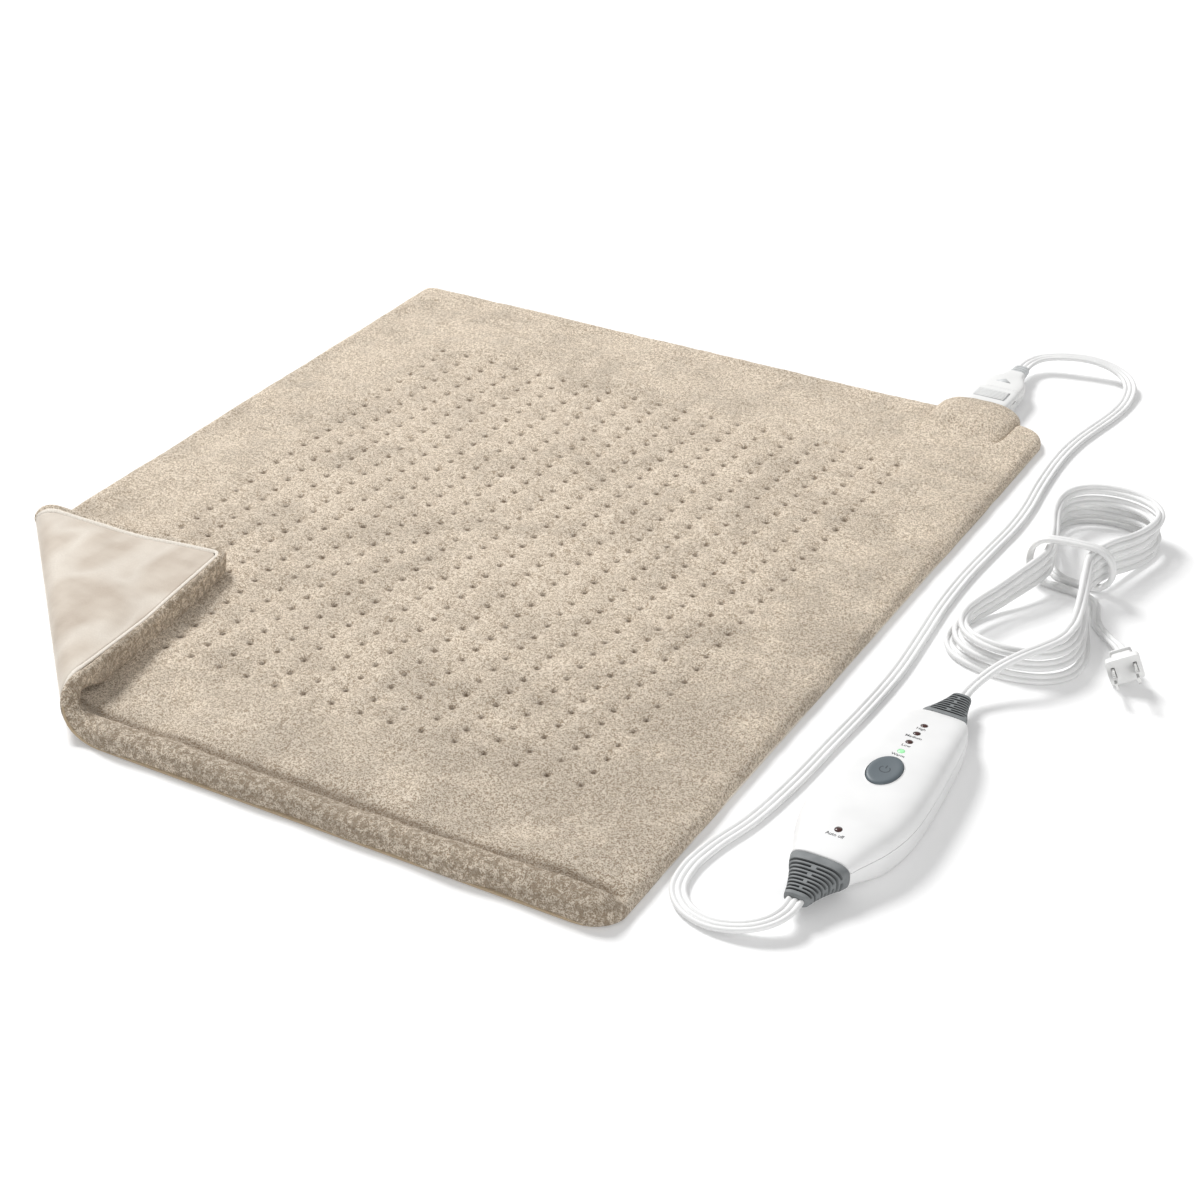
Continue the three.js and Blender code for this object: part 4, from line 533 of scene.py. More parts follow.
# %% Fold a flat pad over at its corner
PAD_WIDTH, PAD_LENGTH, MIDDLE = 508, 610, 4.5
LIMB = np.array((-256.2, -142.1))
ALONG = np.array((math.cos(math.radians(-44.76)), math.sin(math.radians(-44.76))))
INWARD = np.array((-ALONG[1], ALONG[0]))
LIFT_RADIUS, ROLL_RADIUS, REST_RADIUS = 15, 7.5, 90
LIFT, FALL = math.radians(40), math.radians(9.2)
fold_start = LIFT_RADIUS * math.sin(LIFT) + ROLL_RADIUS * (1 - math.sin(LIFT)) + MIDDLE
lift_end = LIFT_RADIUS * LIFT
roll_end = lift_end + ROLL_RADIUS * (math.pi + FALL - LIFT)
lift_x, lift_z = LIFT_RADIUS * math.sin(LIFT), MIDDLE + LIFT_RADIUS * (1 - math.cos(LIFT))
roll_x = lift_x - ROLL_RADIUS * (math.sin(FALL) + math.sin(LIFT))
roll_z = lift_z + ROLL_RADIUS * (math.cos(LIFT) + math.cos(FALL))
rest_z = MIDDLE + 9.5
fall_end = roll_end + max(roll_z - REST_RADIUS * (1 - math.cos(FALL)) - rest_z, 0) / math.sin(FALL)
rest_end = fall_end + REST_RADIUS * FALL
FLAP_LIFT = 2.2


def fold_run(x, y):
    """How far each flat point lies past the start of the fold, in millimetres."""
    return fold_start - ((x - LIMB[0]) * INWARD[0] + (y - LIMB[1]) * INWARD[1])


def fold_over(places):
    """Bend flat points, rows of x, y and z in millimetres, round the roll."""
    x, y, z = np.asarray(places, float).T
    s = fold_run(x, y)
    t = (x - LIMB[0]) * ALONG[0] + (y - LIMB[1]) * ALONG[1] - 0.235 * s
    rolled = LIFT + (s - lift_end) / ROLL_RADIUS
    left = np.clip(FALL - (s - fall_end) / REST_RADIUS, 0, FALL)
    stretches = [s <= lift_end, s <= roll_end, s <= fall_end, s <= rest_end]
    eased_x = roll_x - (fall_end - roll_end) * math.cos(FALL) - REST_RADIUS * (math.sin(FALL) - np.sin(left))
    angle = np.select(stretches, [s / LIFT_RADIUS, rolled, math.pi + FALL, math.pi + left], math.pi)
    line_x = np.select(stretches, [
        LIFT_RADIUS * np.sin(s / LIFT_RADIUS),
        lift_x + ROLL_RADIUS * (np.sin(rolled) - math.sin(LIFT)),
        roll_x - (s - roll_end) * math.cos(FALL),
        eased_x,
    ], eased_x - (s - rest_end))
    line_z = np.select(stretches, [
        MIDDLE + LIFT_RADIUS * (1 - np.cos(s / LIFT_RADIUS)),
        lift_z + ROLL_RADIUS * (math.cos(LIFT) - np.cos(rolled)),
        roll_z - (s - roll_end) * math.sin(FALL),
        rest_z + REST_RADIUS * (1 - np.cos(left)),
    ], rest_z)
    rise = z - MIDDLE
    out_x = line_x - rise * np.sin(angle)
    out_z = line_z + rise * np.cos(angle) + FLAP_LIFT * smooth_ramp(s, roll_end - 8, roll_end + 70)
    folded_x = LIMB[0] + t * ALONG[0] - (out_x - fold_start) * INWARD[0]
    folded_y = LIMB[1] + t * ALONG[1] - (out_x - fold_start) * INWARD[1]
    bent = s > 0
    return np.column_stack([np.where(bent, folded_x, x), np.where(bent, folded_y, y), np.where(bent, out_z, z)])


def on_flap(x, y):
    """1 on the turned-over flap and 0 on the rest of the pad."""
    return smooth_ramp(fold_run(x, y), roll_end - 20, roll_end + 4)


print("the roll's top is", round(roll_z + MIDDLE, 1), "mm up")

# %% [markdown]
# Fabric is uneven at several scales. Smooth random hills come from numbers on a
# coarse grid with soft steps between them, from a fixed seed so that every run is the
# same.

# %% Soft random hills
def hills(x, y, size, seed):
    """Smooth noise from -1 to 1, with hills about that many millimetres apart."""
    heights = np.random.RandomState(seed).uniform(-1, 1, (260, 260))
    u, v = (x + 400) / size, (y + 400) / size
    i, j = np.floor(u).astype(int) % 259, np.floor(v).astype(int) % 259
    a, b = u - np.floor(u), v - np.floor(v)
    a, b = a * a * (3 - 2 * a), b * b * (3 - 2 * b)
    low = heights[i, j] * (1 - a) + heights[i + 1, j] * a
    high = heights[i, j + 1] * (1 - a) + heights[i + 1, j + 1] * a
    return low * (1 - b) + high * b


# %% [markdown]
# The plush top starts as a grid whose lines crowd together at each tuft and at the
# edges, where the shape changes fast. Its four corners are rounded by moving the
# points of each corner square onto a quarter disc.

# %% Lines of the grid
TUFT_X = 4 + 20.0 * (np.arange(19) - 9)
TUFT_Y = -3.25 + 14.5 * (np.arange(30) - 14.5)
EDGE_STEPS = [0, 0.8, 1.7, 2.8, 4.2, 5.8, 7.6, 9.6, 12, 14.6, 16.6, 17.8, 19.2, 21]


def grid_lines(half, tufts, pitch, offsets):
    """Line places across the pad: fine at the edge, then even, then fine at the tufts."""
    near = [-half + step for step in EDGE_STEPS]
    inner = tufts[0] - pitch / 2
    outer = tufts[-1] + pitch / 2
    left = list(np.linspace(near[-1], inner, int((inner - near[-1]) / 4) + 1))[1:]
    middle = [pit_and_valley_shade + offset for pit_and_valley_shade in tufts for offset in offsets][1:]
    far = half - EDGE_STEPS[-1]
    right = list(np.linspace(outer, far, int((far - outer) / 4) + 1))
    return np.array(near + left + middle + right + [half - step for step in EDGE_STEPS[-2::-1]])


lines_x = grid_lines(PAD_WIDTH / 2, TUFT_X, 20, [-10, -7, -4.4, -2.5, -1.2, 0, 1.2, 2.5, 4.4, 7])
lines_y = grid_lines(PAD_LENGTH / 2, TUFT_Y, 14.5, [-7.25, -4.6, -2.5, -1.2, 0, 1.2, 2.5, 4.6])
print("plush grid is", len(lines_x), "by", len(lines_y))


# %% Round the corners and measure from the edge
CORNERS = [(1, -1, 15), (1, 1, 22), (-1, 1, 8), (-1, -1, 10)]  # side in x, side in y, radius


def round_corners(x, y, inset=0.0):
    """Move a rectangle's points so that its corners are round, and say how far in each lies."""
    half_x, half_y = PAD_WIDTH / 2 - inset, PAD_LENGTH / 2 - inset
    to_side = np.minimum(half_x - np.abs(x), half_y - np.abs(y))
    apart = np.abs((half_x - np.abs(x)) - (half_y - np.abs(y)))
    inside = np.maximum(to_side - np.maximum(4 - apart, 0) ** 2 / 16 * (to_side > 0.5), 0)
    x, y = x.copy(), y.copy()
    for side_x, side_y, radius in CORNERS:
        radius -= inset
        u = (x * side_x - (half_x - radius)) / radius
        v = (y * side_y - (half_y - radius)) / radius
        there = (u > 0) & (v > 0)
        new_u, new_v = u * np.sqrt(1 - v * v * there / 2), v * np.sqrt(1 - u * u * there / 2)
        x = np.where(there, side_x * (half_x - radius + radius * new_u), x)
        y = np.where(there, side_y * (half_y - radius + radius * new_v), y)
        inside = np.where(there, radius * (1 - np.hypot(new_u, new_v)), inside)
    return x, y, inside


# %% [markdown]
# The height of the plush is a sum of what the eye sees on the real one: a thin soft
# edge, broad hills, a small pit at every tuft, a fat hem along the front with a
# stitched valley behind it, and a low place under the connector's sleeve.

# %% Height of the plush
HEM_PLAIN_AT, HEM_PLAIN = [0, 0.8, 1.7, 2.8, 4.2, 5.8, 9, 16], [4.6, 6.1, 7.1, 7.8, 8.35, 8.7, 8.95, 8.75]
HEM_PROFILE = [  # distance from the front edge and height of the fat hem, with its stitched valley behind
    (0, 6.5), (0.8, 9.2), (1.7, 10.5), (2.8, 11.5), (4.2, 12.3), (5.8, 12.9), (7.6, 13.2), (9.6, 13.1), (12, 12.4),
    (14.6, 10.2), (16.6, 7.4), (17.8, 5.6), (19.2, 6.0), (21, 7.3), (25, 8.9), (30, 9.3), (40, 8.75),
]
FLAP_HEM = [(0, 9.4), (0.8, 11.6), (1.7, 12.6), (2.8, 13.3), (4.2, 13.7), (5.8, 13.8), (9.6, 13.4), (15, 11), (21, 9), (30, 8.75)]


def plush_height(x, y, inside):
    """Height over the table of the flat pad's plush, and how much painted shade each point gets, in the pit at each
    tufted spot and just behind the hem's valley.
    """
    height = np.interp(inside, HEM_PLAIN_AT, HEM_PLAIN)
    roll = smooth_ramp(fold_run(x, y), -14, 6) * (1 - smooth_ramp(fold_run(x, y), roll_end, roll_end + 16))
    fade = smooth_ramp(inside, 1, 14)
    past_tufts = np.maximum(np.abs(x - 4) - 186, np.abs(y + 3.25) - 216)
    border = smooth_ramp(past_tufts, -12, 16)
    broad = (1.0 + 1.5 * border) * hills(x, y, 62, 3) + (0.5 + 0.9 * border) * hills(x, y, 27, 4)
    height = height + fade * broad * (1 - 0.8 * roll)
    height = height + smooth_ramp(inside, 0, 3) * (0.22 * hills(x, y, 7.5, 5) + 0.2 * hills(x, y, 3.4, 6))
    column = np.clip(np.round((x - 4) / 20), -9, 9)
    row = np.clip(np.round((y + 3.25) / 14.5 + 14.5), 0, 29)
    off_x = 0.9 * hills(column * 31.0, row * 29.0, 17, 7)
    off_y = 0.7 * hills(column * 31.0, row * 29.0, 19, 8)
    reach = np.hypot(x - 4 - 20 * column - off_x, y + 3.25 - 14.5 * (row - 14.5) - off_y)
    depth = 1 + 0.3 * hills(column * 23.0, row * 37.0, 13, 9)
    pit = depth * (2.5 * np.exp(-((reach / 1.2) ** 2)) + 1.4 * np.exp(-((reach / 5.2) ** 2)))
    to_front = y + PAD_LENGTH / 2
    flap = on_flap(x, y)
    rolled_hem = np.interp(to_front, *np.array(FLAP_HEM).T)
    rolled_hem = rolled_hem + 4.2 * (1 - smooth_ramp(fold_run(x, y), roll_end, roll_end + 110)) * (1 - smooth_ramp(to_front, 9, 21))
    hem = np.interp(to_front, *np.array(HEM_PROFILE).T) * (1 - flap) + rolled_hem * flap
    hem = hem - np.interp(to_front, HEM_PLAIN_AT, HEM_PLAIN)
    hem *= (1 + 0.2 * hills(x, y, 26, 10)) * smooth_ramp(PAD_WIDTH / 2 - np.abs(x), 0, 9) * (1 - 0.6 * roll)
    under_sleeve = (1 - smooth_ramp(np.abs(x - 203), 23, 29)) * smooth_ramp(y, 264, 272)
    height = (height - pit + hem) * (1 - under_sleeve) + 1.75 * under_sleeve
    # Painted shade: a dark strip just behind the hem's stitched valley.
    valley_shade = 0.62 * np.exp(-(((to_front - 20.2) / 2.6) ** 2)) * smooth_ramp(PAD_WIDTH / 2 - np.abs(x), 2, 12)
    return height, np.maximum(np.exp(-((reach / 1.9) ** 2)), valley_shade) * (1 - under_sleeve)


# %% [markdown]
# The grid's open edge is drawn down and under by extruding it in small steps, so that
# the plush wraps the pad's rim. The underside is filled, and cut along lines parallel
# to the fold so that it can bend with the rest.

# %% Build the plush body
def plush_body():
    shape = bmesh.new()
    # Painted shade: this layer holds how dark the tufts' pits and the strip behind the hem's valley are painted.
    pit_and_valley_shade = shape.verts.layers.float.new("pit_and_valley_shade")
    # This layer marks the front hem, whose dark brown clumps are partly painted shade.
    hemmed = shape.verts.layers.float.new("hem")
    outward = shape.verts.layers.float_vector.new("outward")
    bmesh.ops.create_grid(shape, x_segments=len(lines_x) - 1, y_segments=len(lines_y) - 1, size=1)
    verts = list(shape.verts)
    unit = np.array([vert.co[:2] for vert in verts])
    x = lines_x[np.round((unit[:, 0] + 1) / 2 * (len(lines_x) - 1)).astype(int)]
    y = lines_y[np.round((unit[:, 1] + 1) / 2 * (len(lines_y) - 1)).astype(int)]
    x, y, inside = round_corners(x, y)
    height, painted_pits_and_valley = plush_height(x, y, inside)
    sway = smooth_ramp(inside, 6, 30)
    edge_wave = smooth_ramp(-inside, -9, 0) * (0.7 * hills(x, y, 38, 13) + 0.35 * hills(x, y, 13, 14))
    swell = 1.6 * np.exp(-(((y + PAD_LENGTH / 2) / 3) ** 2)) * smooth_ramp(PAD_WIDTH / 2 - np.abs(x), 4, 20)
    swell = swell * (1 + 0.7 * hills(x, 0 * y, 31, 15))
    x = x + sway * 1.3 * hills(x, y, 75, 11) + edge_wave * np.sign(x) * (PAD_WIDTH / 2 - np.abs(x) < 20)
    y = y + sway * 1.1 * hills(x, y, 68, 12) + edge_wave * np.sign(y) * (PAD_LENGTH / 2 - np.abs(y) < 20) - swell
    for vert, *place, pit in zip(verts, x, y, height, painted_pits_and_valley):
        vert.co = place
        vert[pit_and_valley_shade] = pit
        vert[hemmed] = 1 - float(smooth_ramp(place[1] + PAD_LENGTH / 2, 13, 18))
    shape.normal_update()
    rim = [edge for edge in shape.edges if edge.is_boundary]
    for vert in {vert for edge in rim for vert in edge.verts}:
        sides = [edge for edge in vert.link_edges if edge.is_boundary]
        along = sides[0].other_vert(vert).co - sides[1].other_vert(vert).co
        away = Vector((along.y, -along.x, 0)).normalized()
        vert[outward] = away if away.dot(Vector((vert.co.x, vert.co.y, 0))) > 0 else -away
    for out, down in [(0.3, 3.3), (-0.15, 1.3), (-0.7, -0.65), (-1.4, -0.45), (-0.9, 0.2), (-2, 0.75)]:
        grown = bmesh.ops.extrude_edge_only(shape, edges=rim)["geom"]
        rim = [g for g in grown if isinstance(g, bmesh.types.BMEdge) and g.is_boundary]
        for vert in (g for g in grown if isinstance(g, bmesh.types.BMVert)):
            hump = float(on_flap(vert.co.x, vert.co.y))
            vert.co += vert[outward] * out * (1 + 0.3 * hump)
            vert.co.z = down - 1.0 * hump if down > 1 else vert.co.z + down * (1 + 0.8 * hump)
    return shape, rim


plush, inner_rim = plush_body()
print("plush grid with its rim has", len(plush.verts), "points")

# %% Close the underside and fold the plush
def level_rim(shape, rim, height):
    """Bring the last loop to one height and fill it."""
    for vert in {vert for edge in rim for vert in edge.verts}:
        vert.co.z = height
    filled = bmesh.ops.triangle_fill(shape, edges=rim, use_beauty=False)["geom"]
    return [g for g in filled if isinstance(g, bmesh.types.BMFace)]


def cut_for_fold(shape, faces, step):
    """Cut faces along the fold's lines so that they can bend."""
    geometry = faces + list({e for f in faces for e in f.edges}) + list({v for f in faces for v in f.verts})
    for run in np.arange(0, rest_end + step, step):
        foot = LIMB + INWARD * (fold_start - run)
        cut = bmesh.ops.bisect_plane(
            shape, geom=geometry, dist=0.0001, plane_co=(foot[0], foot[1], 0), plane_no=(INWARD[0], INWARD[1], 0)
        )
        geometry = cut["geom"]


def folded(shape):
    """Bend every point of a flat shape in millimetres."""
    verts = list(shape.verts)
    for vert, place in zip(verts, fold_over(np.array([vert.co for vert in verts]))):
        vert.co = place
    return shape


cut_for_fold(plush, level_rim(plush, inner_rim, 1.35), 4)
bmesh.ops.recalc_face_normals(plush, faces=plush.faces)
folded(plush)

# %% [markdown]
# Plush is a short dense pile. Seen close, it is a speckle of lit tips and dark gaps one
# to two millimetres across; seen from afar, patches of pile lean this way or that and
# look lighter or darker. Shade is painted in as well: the pile grows darker towards the
# front right, away from the lamp, and the pits at the tufts and a strip just behind the
# hem's stitched valley are painted dark. The front hem has dark brown clumps of pile,
# partly clumpier pile and partly painted shade. Sheen stands for the light that the
# tips scatter.

# %% Plush finish
def plush_finish(name, tip, gap, shade):
    finish = new_finish(name, tip, 0.95, {
        "Sheen Weight": 0.2, "Sheen Roughness": 0.6, "Specular IOR Level": 0.15,
        "Sheen Tint": (1.0, 0.93, 0.84, 1),
    })
    pile = combine(finish, "ADD", combine(finish, "MULTIPLY", grain(finish, 0.8, 3), 0.68),
                   combine(finish, "MULTIPLY", grain(finish, 1.9, 3), 0.32))
    strands = spread(finish, pile, 0, 1, 0.43, 0.56)
    # Painted shade: shaded copies of the gap and tip colours, for pile that lies in shade.
    shade_gap = tuple(shade * channel for channel in gap)
    shade_tip = tuple(shade * channel for channel in tip)
    nap = combine(finish, "ADD", combine(finish, "MULTIPLY", grain(finish, 48, 4), 0.6),
                  combine(finish, "MULTIPLY", grain(finish, 15, 3), 0.4))
    nodes, links = finish.node_tree.nodes, finish.node_tree.links
    place, axes = nodes.new("ShaderNodeTexCoord"), nodes.new("ShaderNodeSeparateXYZ")
    links.new(place.outputs["Object"], axes.inputs["Vector"])
    # Painted shade: the pile grows darker towards the front right, away from the lamp at the back left.
    painted_front_shade = spread(finish, combine(finish, "SUBTRACT", axes.outputs["X"], axes.outputs["Y"]), 0, 0.17, 0.12, 0.40)
    nap_and_painted_shade = spread(finish, combine(finish, "SUBTRACT", nap, painted_front_shade), 1.0, 0.0, 0.31, 0.55)
    color = tint(finish, nap_and_painted_shade, tint(finish, strands, gap, tip), tint(finish, strands, shade_gap, shade_tip))
    # The front hem gets dark brown clumps: its pile is clumpier, and the darkening is partly painted shade.
    hem = nodes.new("ShaderNodeAttribute")
    hem.attribute_name = "hem"
    clumps = spread(finish, grain(finish, 3.2, 3), 0.75, 0.1, 0.40, 0.58)
    color = tint(finish, combine(finish, "MULTIPLY", hem.outputs["Fac"], clumps), color, (0.27, 0.205, 0.14))
    # Painted shade: the tufts' pits and the strip behind the hem's valley turn dark brown.
    pit_and_valley_shade = nodes.new("ShaderNodeAttribute")
    pit_and_valley_shade.attribute_name = "pit_and_valley_shade"
    color = tint(finish, spread(finish, pit_and_valley_shade.outputs["Fac"], 0, 0.85, 0.12, 0.95), color, (0.17, 0.12, 0.08))
    feed(finish, "Base Color", color)
    roughen(finish, pile, 1.6, 1.0)
    return finish


plush_tan = plush_finish("plush_tan", (0.96, 0.845, 0.70), (0.43, 0.33, 0.23), 0.75)
pad_plush = keep("pad_plush", plush, plush_tan, "pad", ["pad_cover_top"], crease=80)
print("plush in place")

# %% [markdown]
# The lining is a thin, smooth velvet. Most of it lies on the table, and the turned-over
# corner shows it. Its nap has been brushed by hand, which leaves soft light and dark
# strokes. A grid that is finer near the fold bends round the roll, and a live Solidify
# gives it thickness.

# %% Velvet lining
lining_x = np.concatenate([np.arange(-251.2, -80, 2.6), np.linspace(-78, 251.2, 46)])
lining_y = np.concatenate([np.arange(-302.2, -105, 2.6), np.linspace(-102, 302.2, 56)])


def lining_shape():
    shape = bmesh.new()
    bmesh.ops.create_grid(shape, x_segments=len(lining_x) - 1, y_segments=len(lining_y) - 1, size=1)
    verts = list(shape.verts)
    unit = np.array([vert.co[:2] for vert in verts])
    x = lining_x[np.round((unit[:, 0] + 1) / 2 * (len(lining_x) - 1)).astype(int)]
    y = lining_y[np.round((unit[:, 1] + 1) / 2 * (len(lining_y) - 1)).astype(int)]
    x, y, inside = round_corners(x, y, 2.8)
    puff = smooth_ramp(fold_run(x, y), roll_end, roll_end + 25) * smooth_ramp(inside, 2, 22)
    hemmed = 3.2 * on_flap(x, y)
    x = x + hemmed * smooth_ramp(-x, 215, 251.2)
    y = y + hemmed * smooth_ramp(-y, 266, 302.2)
    z = 0.06 - puff * (1.2 + 1.1 * hills(x + 0.6 * y, y, 38, 21) + 0.5 * hills(x, y, 17, 22))
    for vert, *place in zip(verts, x, y, np.where(puff > 0, np.minimum(z, 0.06), z)):
        vert.co = place
    return shape


velvet = new_finish("lining_velvet", (0.76, 0.70, 0.63), 0.7, {
    "Sheen Weight": 0.45, "Sheen Roughness": 0.35, "Specular IOR Level": 0.25,
    "Sheen Tint": (1.0, 0.96, 0.9, 1),
})
strokes = combine(velvet, "ADD", combine(velvet, "MULTIPLY", grain(velvet, 26, 5, (1, 0.45, 1)), 0.7),
                  combine(velvet, "MULTIPLY", grain(velvet, 9, 3, (0.5, 1, 1)), 0.3))
brushed = tint(velvet, spread(velvet, strokes, 0, 1, 0.36, 0.64), (0.50, 0.42, 0.34), (0.67, 0.595, 0.505))
# Painted highlight: thin pale lines where light would catch crease ridges, which the mesh doesn't have.
level_lines = combine(velvet, "SUBTRACT", grain(velvet, 42, 1.5, (1, 0.55, 1)), 0.5)
painted_crease_highlights = spread(velvet, combine(velvet, "ABSOLUTE", level_lines, 0), 0.5, 0, 0, 0.1)
brushed = tint(velvet, painted_crease_highlights, brushed, (0.83, 0.78, 0.70))
thread = spread(velvet, grain(velvet, 0.9, 2), 0, 0.35, 0.35, 0.65)
feed(velvet, "Base Color", tint(velvet, thread, brushed, (0.58, 0.51, 0.44)))
roughen(velvet, grain(velvet, 1.1, 2), 0.25, 0.5)
pad_velvet = keep("pad_velvet", folded(lining_shape()), velvet, "pad", ["pad_cover_backing"], crease=80)
wall = pad_velvet.modifiers.new("cloth", "SOLIDIFY")
wall.thickness, wall.offset = 1.15 * MM, 1

# %% [markdown]
# A narrow light binding covers the raw edge where the plush meets the lining. It is a
# small strip swept round the pad's outline while it is flat, and folded with the rest.

# %% Binding round the hem
def outline_path(inset, step):
    """Points round the pad, inset from its edge, with the way out at each."""
    half_x, half_y = PAD_WIDTH / 2, PAD_LENGTH / 2
    rows = []
    for side_x, side_y, radius in CORNERS:
        centre = (side_x * (half_x - radius), side_y * (half_y - radius))
        first = {(1, -1): -90, (1, 1): 0, (-1, 1): 90, (-1, -1): 180}[(side_x, side_y)]
        for degrees in np.linspace(first, first + 90, 7):
            way = (math.cos(math.radians(degrees)), math.sin(math.radians(degrees)))
            rows.append((centre[0] + (radius - inset) * way[0], centre[1] + (radius - inset) * way[1], *way))
    rows.append(rows[0])
    fine = []
    for a, b in zip(rows, rows[1:]):
        count = max(int(math.dist(a[:2], b[:2]) / step), 1)
        fine += [np.array(a) + (np.array(b) - np.array(a)) * i / count for i in range(count)]
    return fine


def binding_shape():
    section = [(-1.9, 0.35), (-1.1, 1.0), (0, 1.2), (1.0, 1.0), (1.45, 0.4), (1.2, -0.25), (0, -0.45), (-1.2, -0.35)]
    rings = []
    for x, y, way_x, way_y in outline_path(1.1, 3):
        turned = float(on_flap(x, y))
        shift = 3.7 * turned - 2.3 * (1 - turned) * max(-way_y, 0) * float(smooth_ramp(PAD_WIDTH / 2 - abs(x), 4, 22))
        x, y = x - shift * way_x, y - shift * way_y
        rings.append([(x + out * way_x, y + out * way_y, 0.95 + up - 1.25 * turned) for out, up in section])
    return loft(rings + rings[:1], capped=False)


binding = new_finish("binding_tape", (0.82, 0.76, 0.68), 0.85, {"Sheen Weight": 0.2, "Specular IOR Level": 0.2})
weave = grain(binding, 0.8, 2)
tape_place = binding.node_tree.nodes.new("ShaderNodeTexCoord")
tape_axes = binding.node_tree.nodes.new("ShaderNodeSeparateXYZ")
binding.node_tree.links.new(tape_place.outputs["Object"], tape_axes.inputs["Vector"])
# Painted shade: the tape turns brown where it runs under the front hem.
painted_shade_under_hem = spread(binding, tape_axes.outputs["Y"], 0.85, 0, -0.301, -0.296)
tape_tone = tint(binding, spread(binding, weave, 0, 1), (0.72, 0.65, 0.56), (0.90, 0.85, 0.77))
feed(binding, "Base Color", tint(binding, painted_shade_under_hem, tape_tone, (0.46, 0.34, 0.20)))
roughen(binding, weave, 0.4, 0.7)
tape = binding_shape()
bmesh.ops.remove_doubles(tape, verts=tape.verts, dist=0.001)
bmesh.ops.recalc_face_normals(tape, faces=tape.faces)
hem_tape = keep("hem_tape", folded(tape), binding, "pad", crease=80)

# %% [markdown]
# A plush sleeve arches over the socket at the back edge. It is a grid bent to an arch
# that rises out of the pad and ends in a thick open mouth.

# %% Sleeve over the connector
SLEEVE_SHARES = [(0, 1, 0.5), (0.2, 1, 0.66), (0.42, 0.99, 0.94), (0.7, 0.98, 1), (0.92, 0.96, 0.99), (1, 0.92, 0.95)]


def sleeve_shape():
    shape = bmesh.new()
    bmesh.ops.create_grid(shape, x_segments=44, y_segments=40, size=1)
    verts = list(shape.verts)
    unit = np.array([vert.co[:2] for vert in verts])
    share = (unit[:, 1] + 1) / 2
    lengths, widths, heights = np.array(SLEEVE_SHARES).T
    half = 31 * np.interp(share, lengths, widths)
    top = 18 * np.interp(share, lengths, heights)
    turn = math.pi / 2 * unit[:, 0]
    x = 203 + half * np.sign(np.sin(turn)) * np.abs(np.sin(turn)) ** 0.8
    y = 257 + share * 51
    z = 2.5 + (top - 2.5) * np.abs(np.cos(turn)) ** 0.62
    z += 0.35 * hills(x, y, 11, 31) + 0.15 * hills(x, y, 4, 32)
    z = np.where(np.abs(unit[:, 0]) > 0.96, np.minimum(z, 4), z)
    for vert, *place in zip(verts, x, y, z):
        vert.co = place
    return shape


sleeve = keep("sleeve_plush", sleeve_shape(), plush_tan, "pad", ["connector_sleeve"], crease=80)
wall = sleeve.modifiers.new("cloth", "SOLIDIFY")
wall.thickness, wall.offset = 2.6 * MM, -1

# %% [markdown]
# The socket is a rounded bar with a deep cavity for the cord's half, and a window on
# each side for its latch. Upper and lower half meet in a fine seam. Exact booleans cut
# all of that from a lofted bar.

# %% Socket shells
SOCKET_X, SOCKET_Z = 203, 8.2


def bar_rings(rows, power=5, count=48):
    """Rings of rounded rectangles along Y at the socket: y, half width, half height."""
    return [
        [(SOCKET_X + x, y, SOCKET_Z + z) for x, z in rounded(half_width, half_height, power, count)]
        for y, half_width, half_height in rows
    ]


def socket_half(upper):
    rows = [(292, 15.2, 5.7), (292.4, 15.7, 6.2), (293.2, 16, 6.5), (336.8, 16, 6.5), (337.6, 15.8, 6.3), (338, 15.4, 5.9)]
    away = (0, SOCKET_Z + 0.15) if upper else (SOCKET_Z - 0.15, 30)
    if upper:
        away = (-5, SOCKET_Z + 0.15)
    tools = [
        block((SOCKET_X - 12.5, 297, SOCKET_Z - 3.9), (SOCKET_X + 12.5, 340, SOCKET_Z + 3.9)),
        block((SOCKET_X - 30, 319.3, SOCKET_Z - 3), (SOCKET_X + 30, 330.3, SOCKET_Z + 3)),
        block((SOCKET_X - 30, 280, away[0]), (SOCKET_X + 30, 350, away[1])),
    ]
    return carve(loft(bar_rings(rows, 5.5)), *tools)


socket_top = keep("socket_top_shell", socket_half(True), connector_white, "pad", ["receptacle_upper_shell"])
socket_base = keep("socket_base_shell", socket_half(False), connector_white, "pad", ["receptacle_lower_shell"])


# %% Grip ribs on the socket
def rib(low, high):
    """A thumb rib with rounded long edges."""
    shape = block(low, high)
    edges = [edge for edge in shape.edges if abs(edge.verts[0].co.x - edge.verts[1].co.x) > 1]
    bmesh.ops.bevel(
        shape, geom=edges, offset=0.3, segments=2, profile=0.5, affect="EDGES", material=-1
    )
    return shape


ribs = joined(*(rib((SOCKET_X - 10.5, 319.5 + 2 * i, 14.3), (SOCKET_X + 10.5, 320.7 + 2 * i, 15.15)) for i in range(6)))
grip_plate = block((SOCKET_X - 11.3, 318.6, 14.4), (SOCKET_X + 11.3, 331.6, 14.78))
keep("grip_ribs", ribs, connector_white, "pad")
keep("grip_plate", grip_plate, ledge_grey, "pad")

# %% [markdown]
# The cord's half of the connector narrows to the strain relief. A small raised
# triangle on its back shows which way up it goes in.

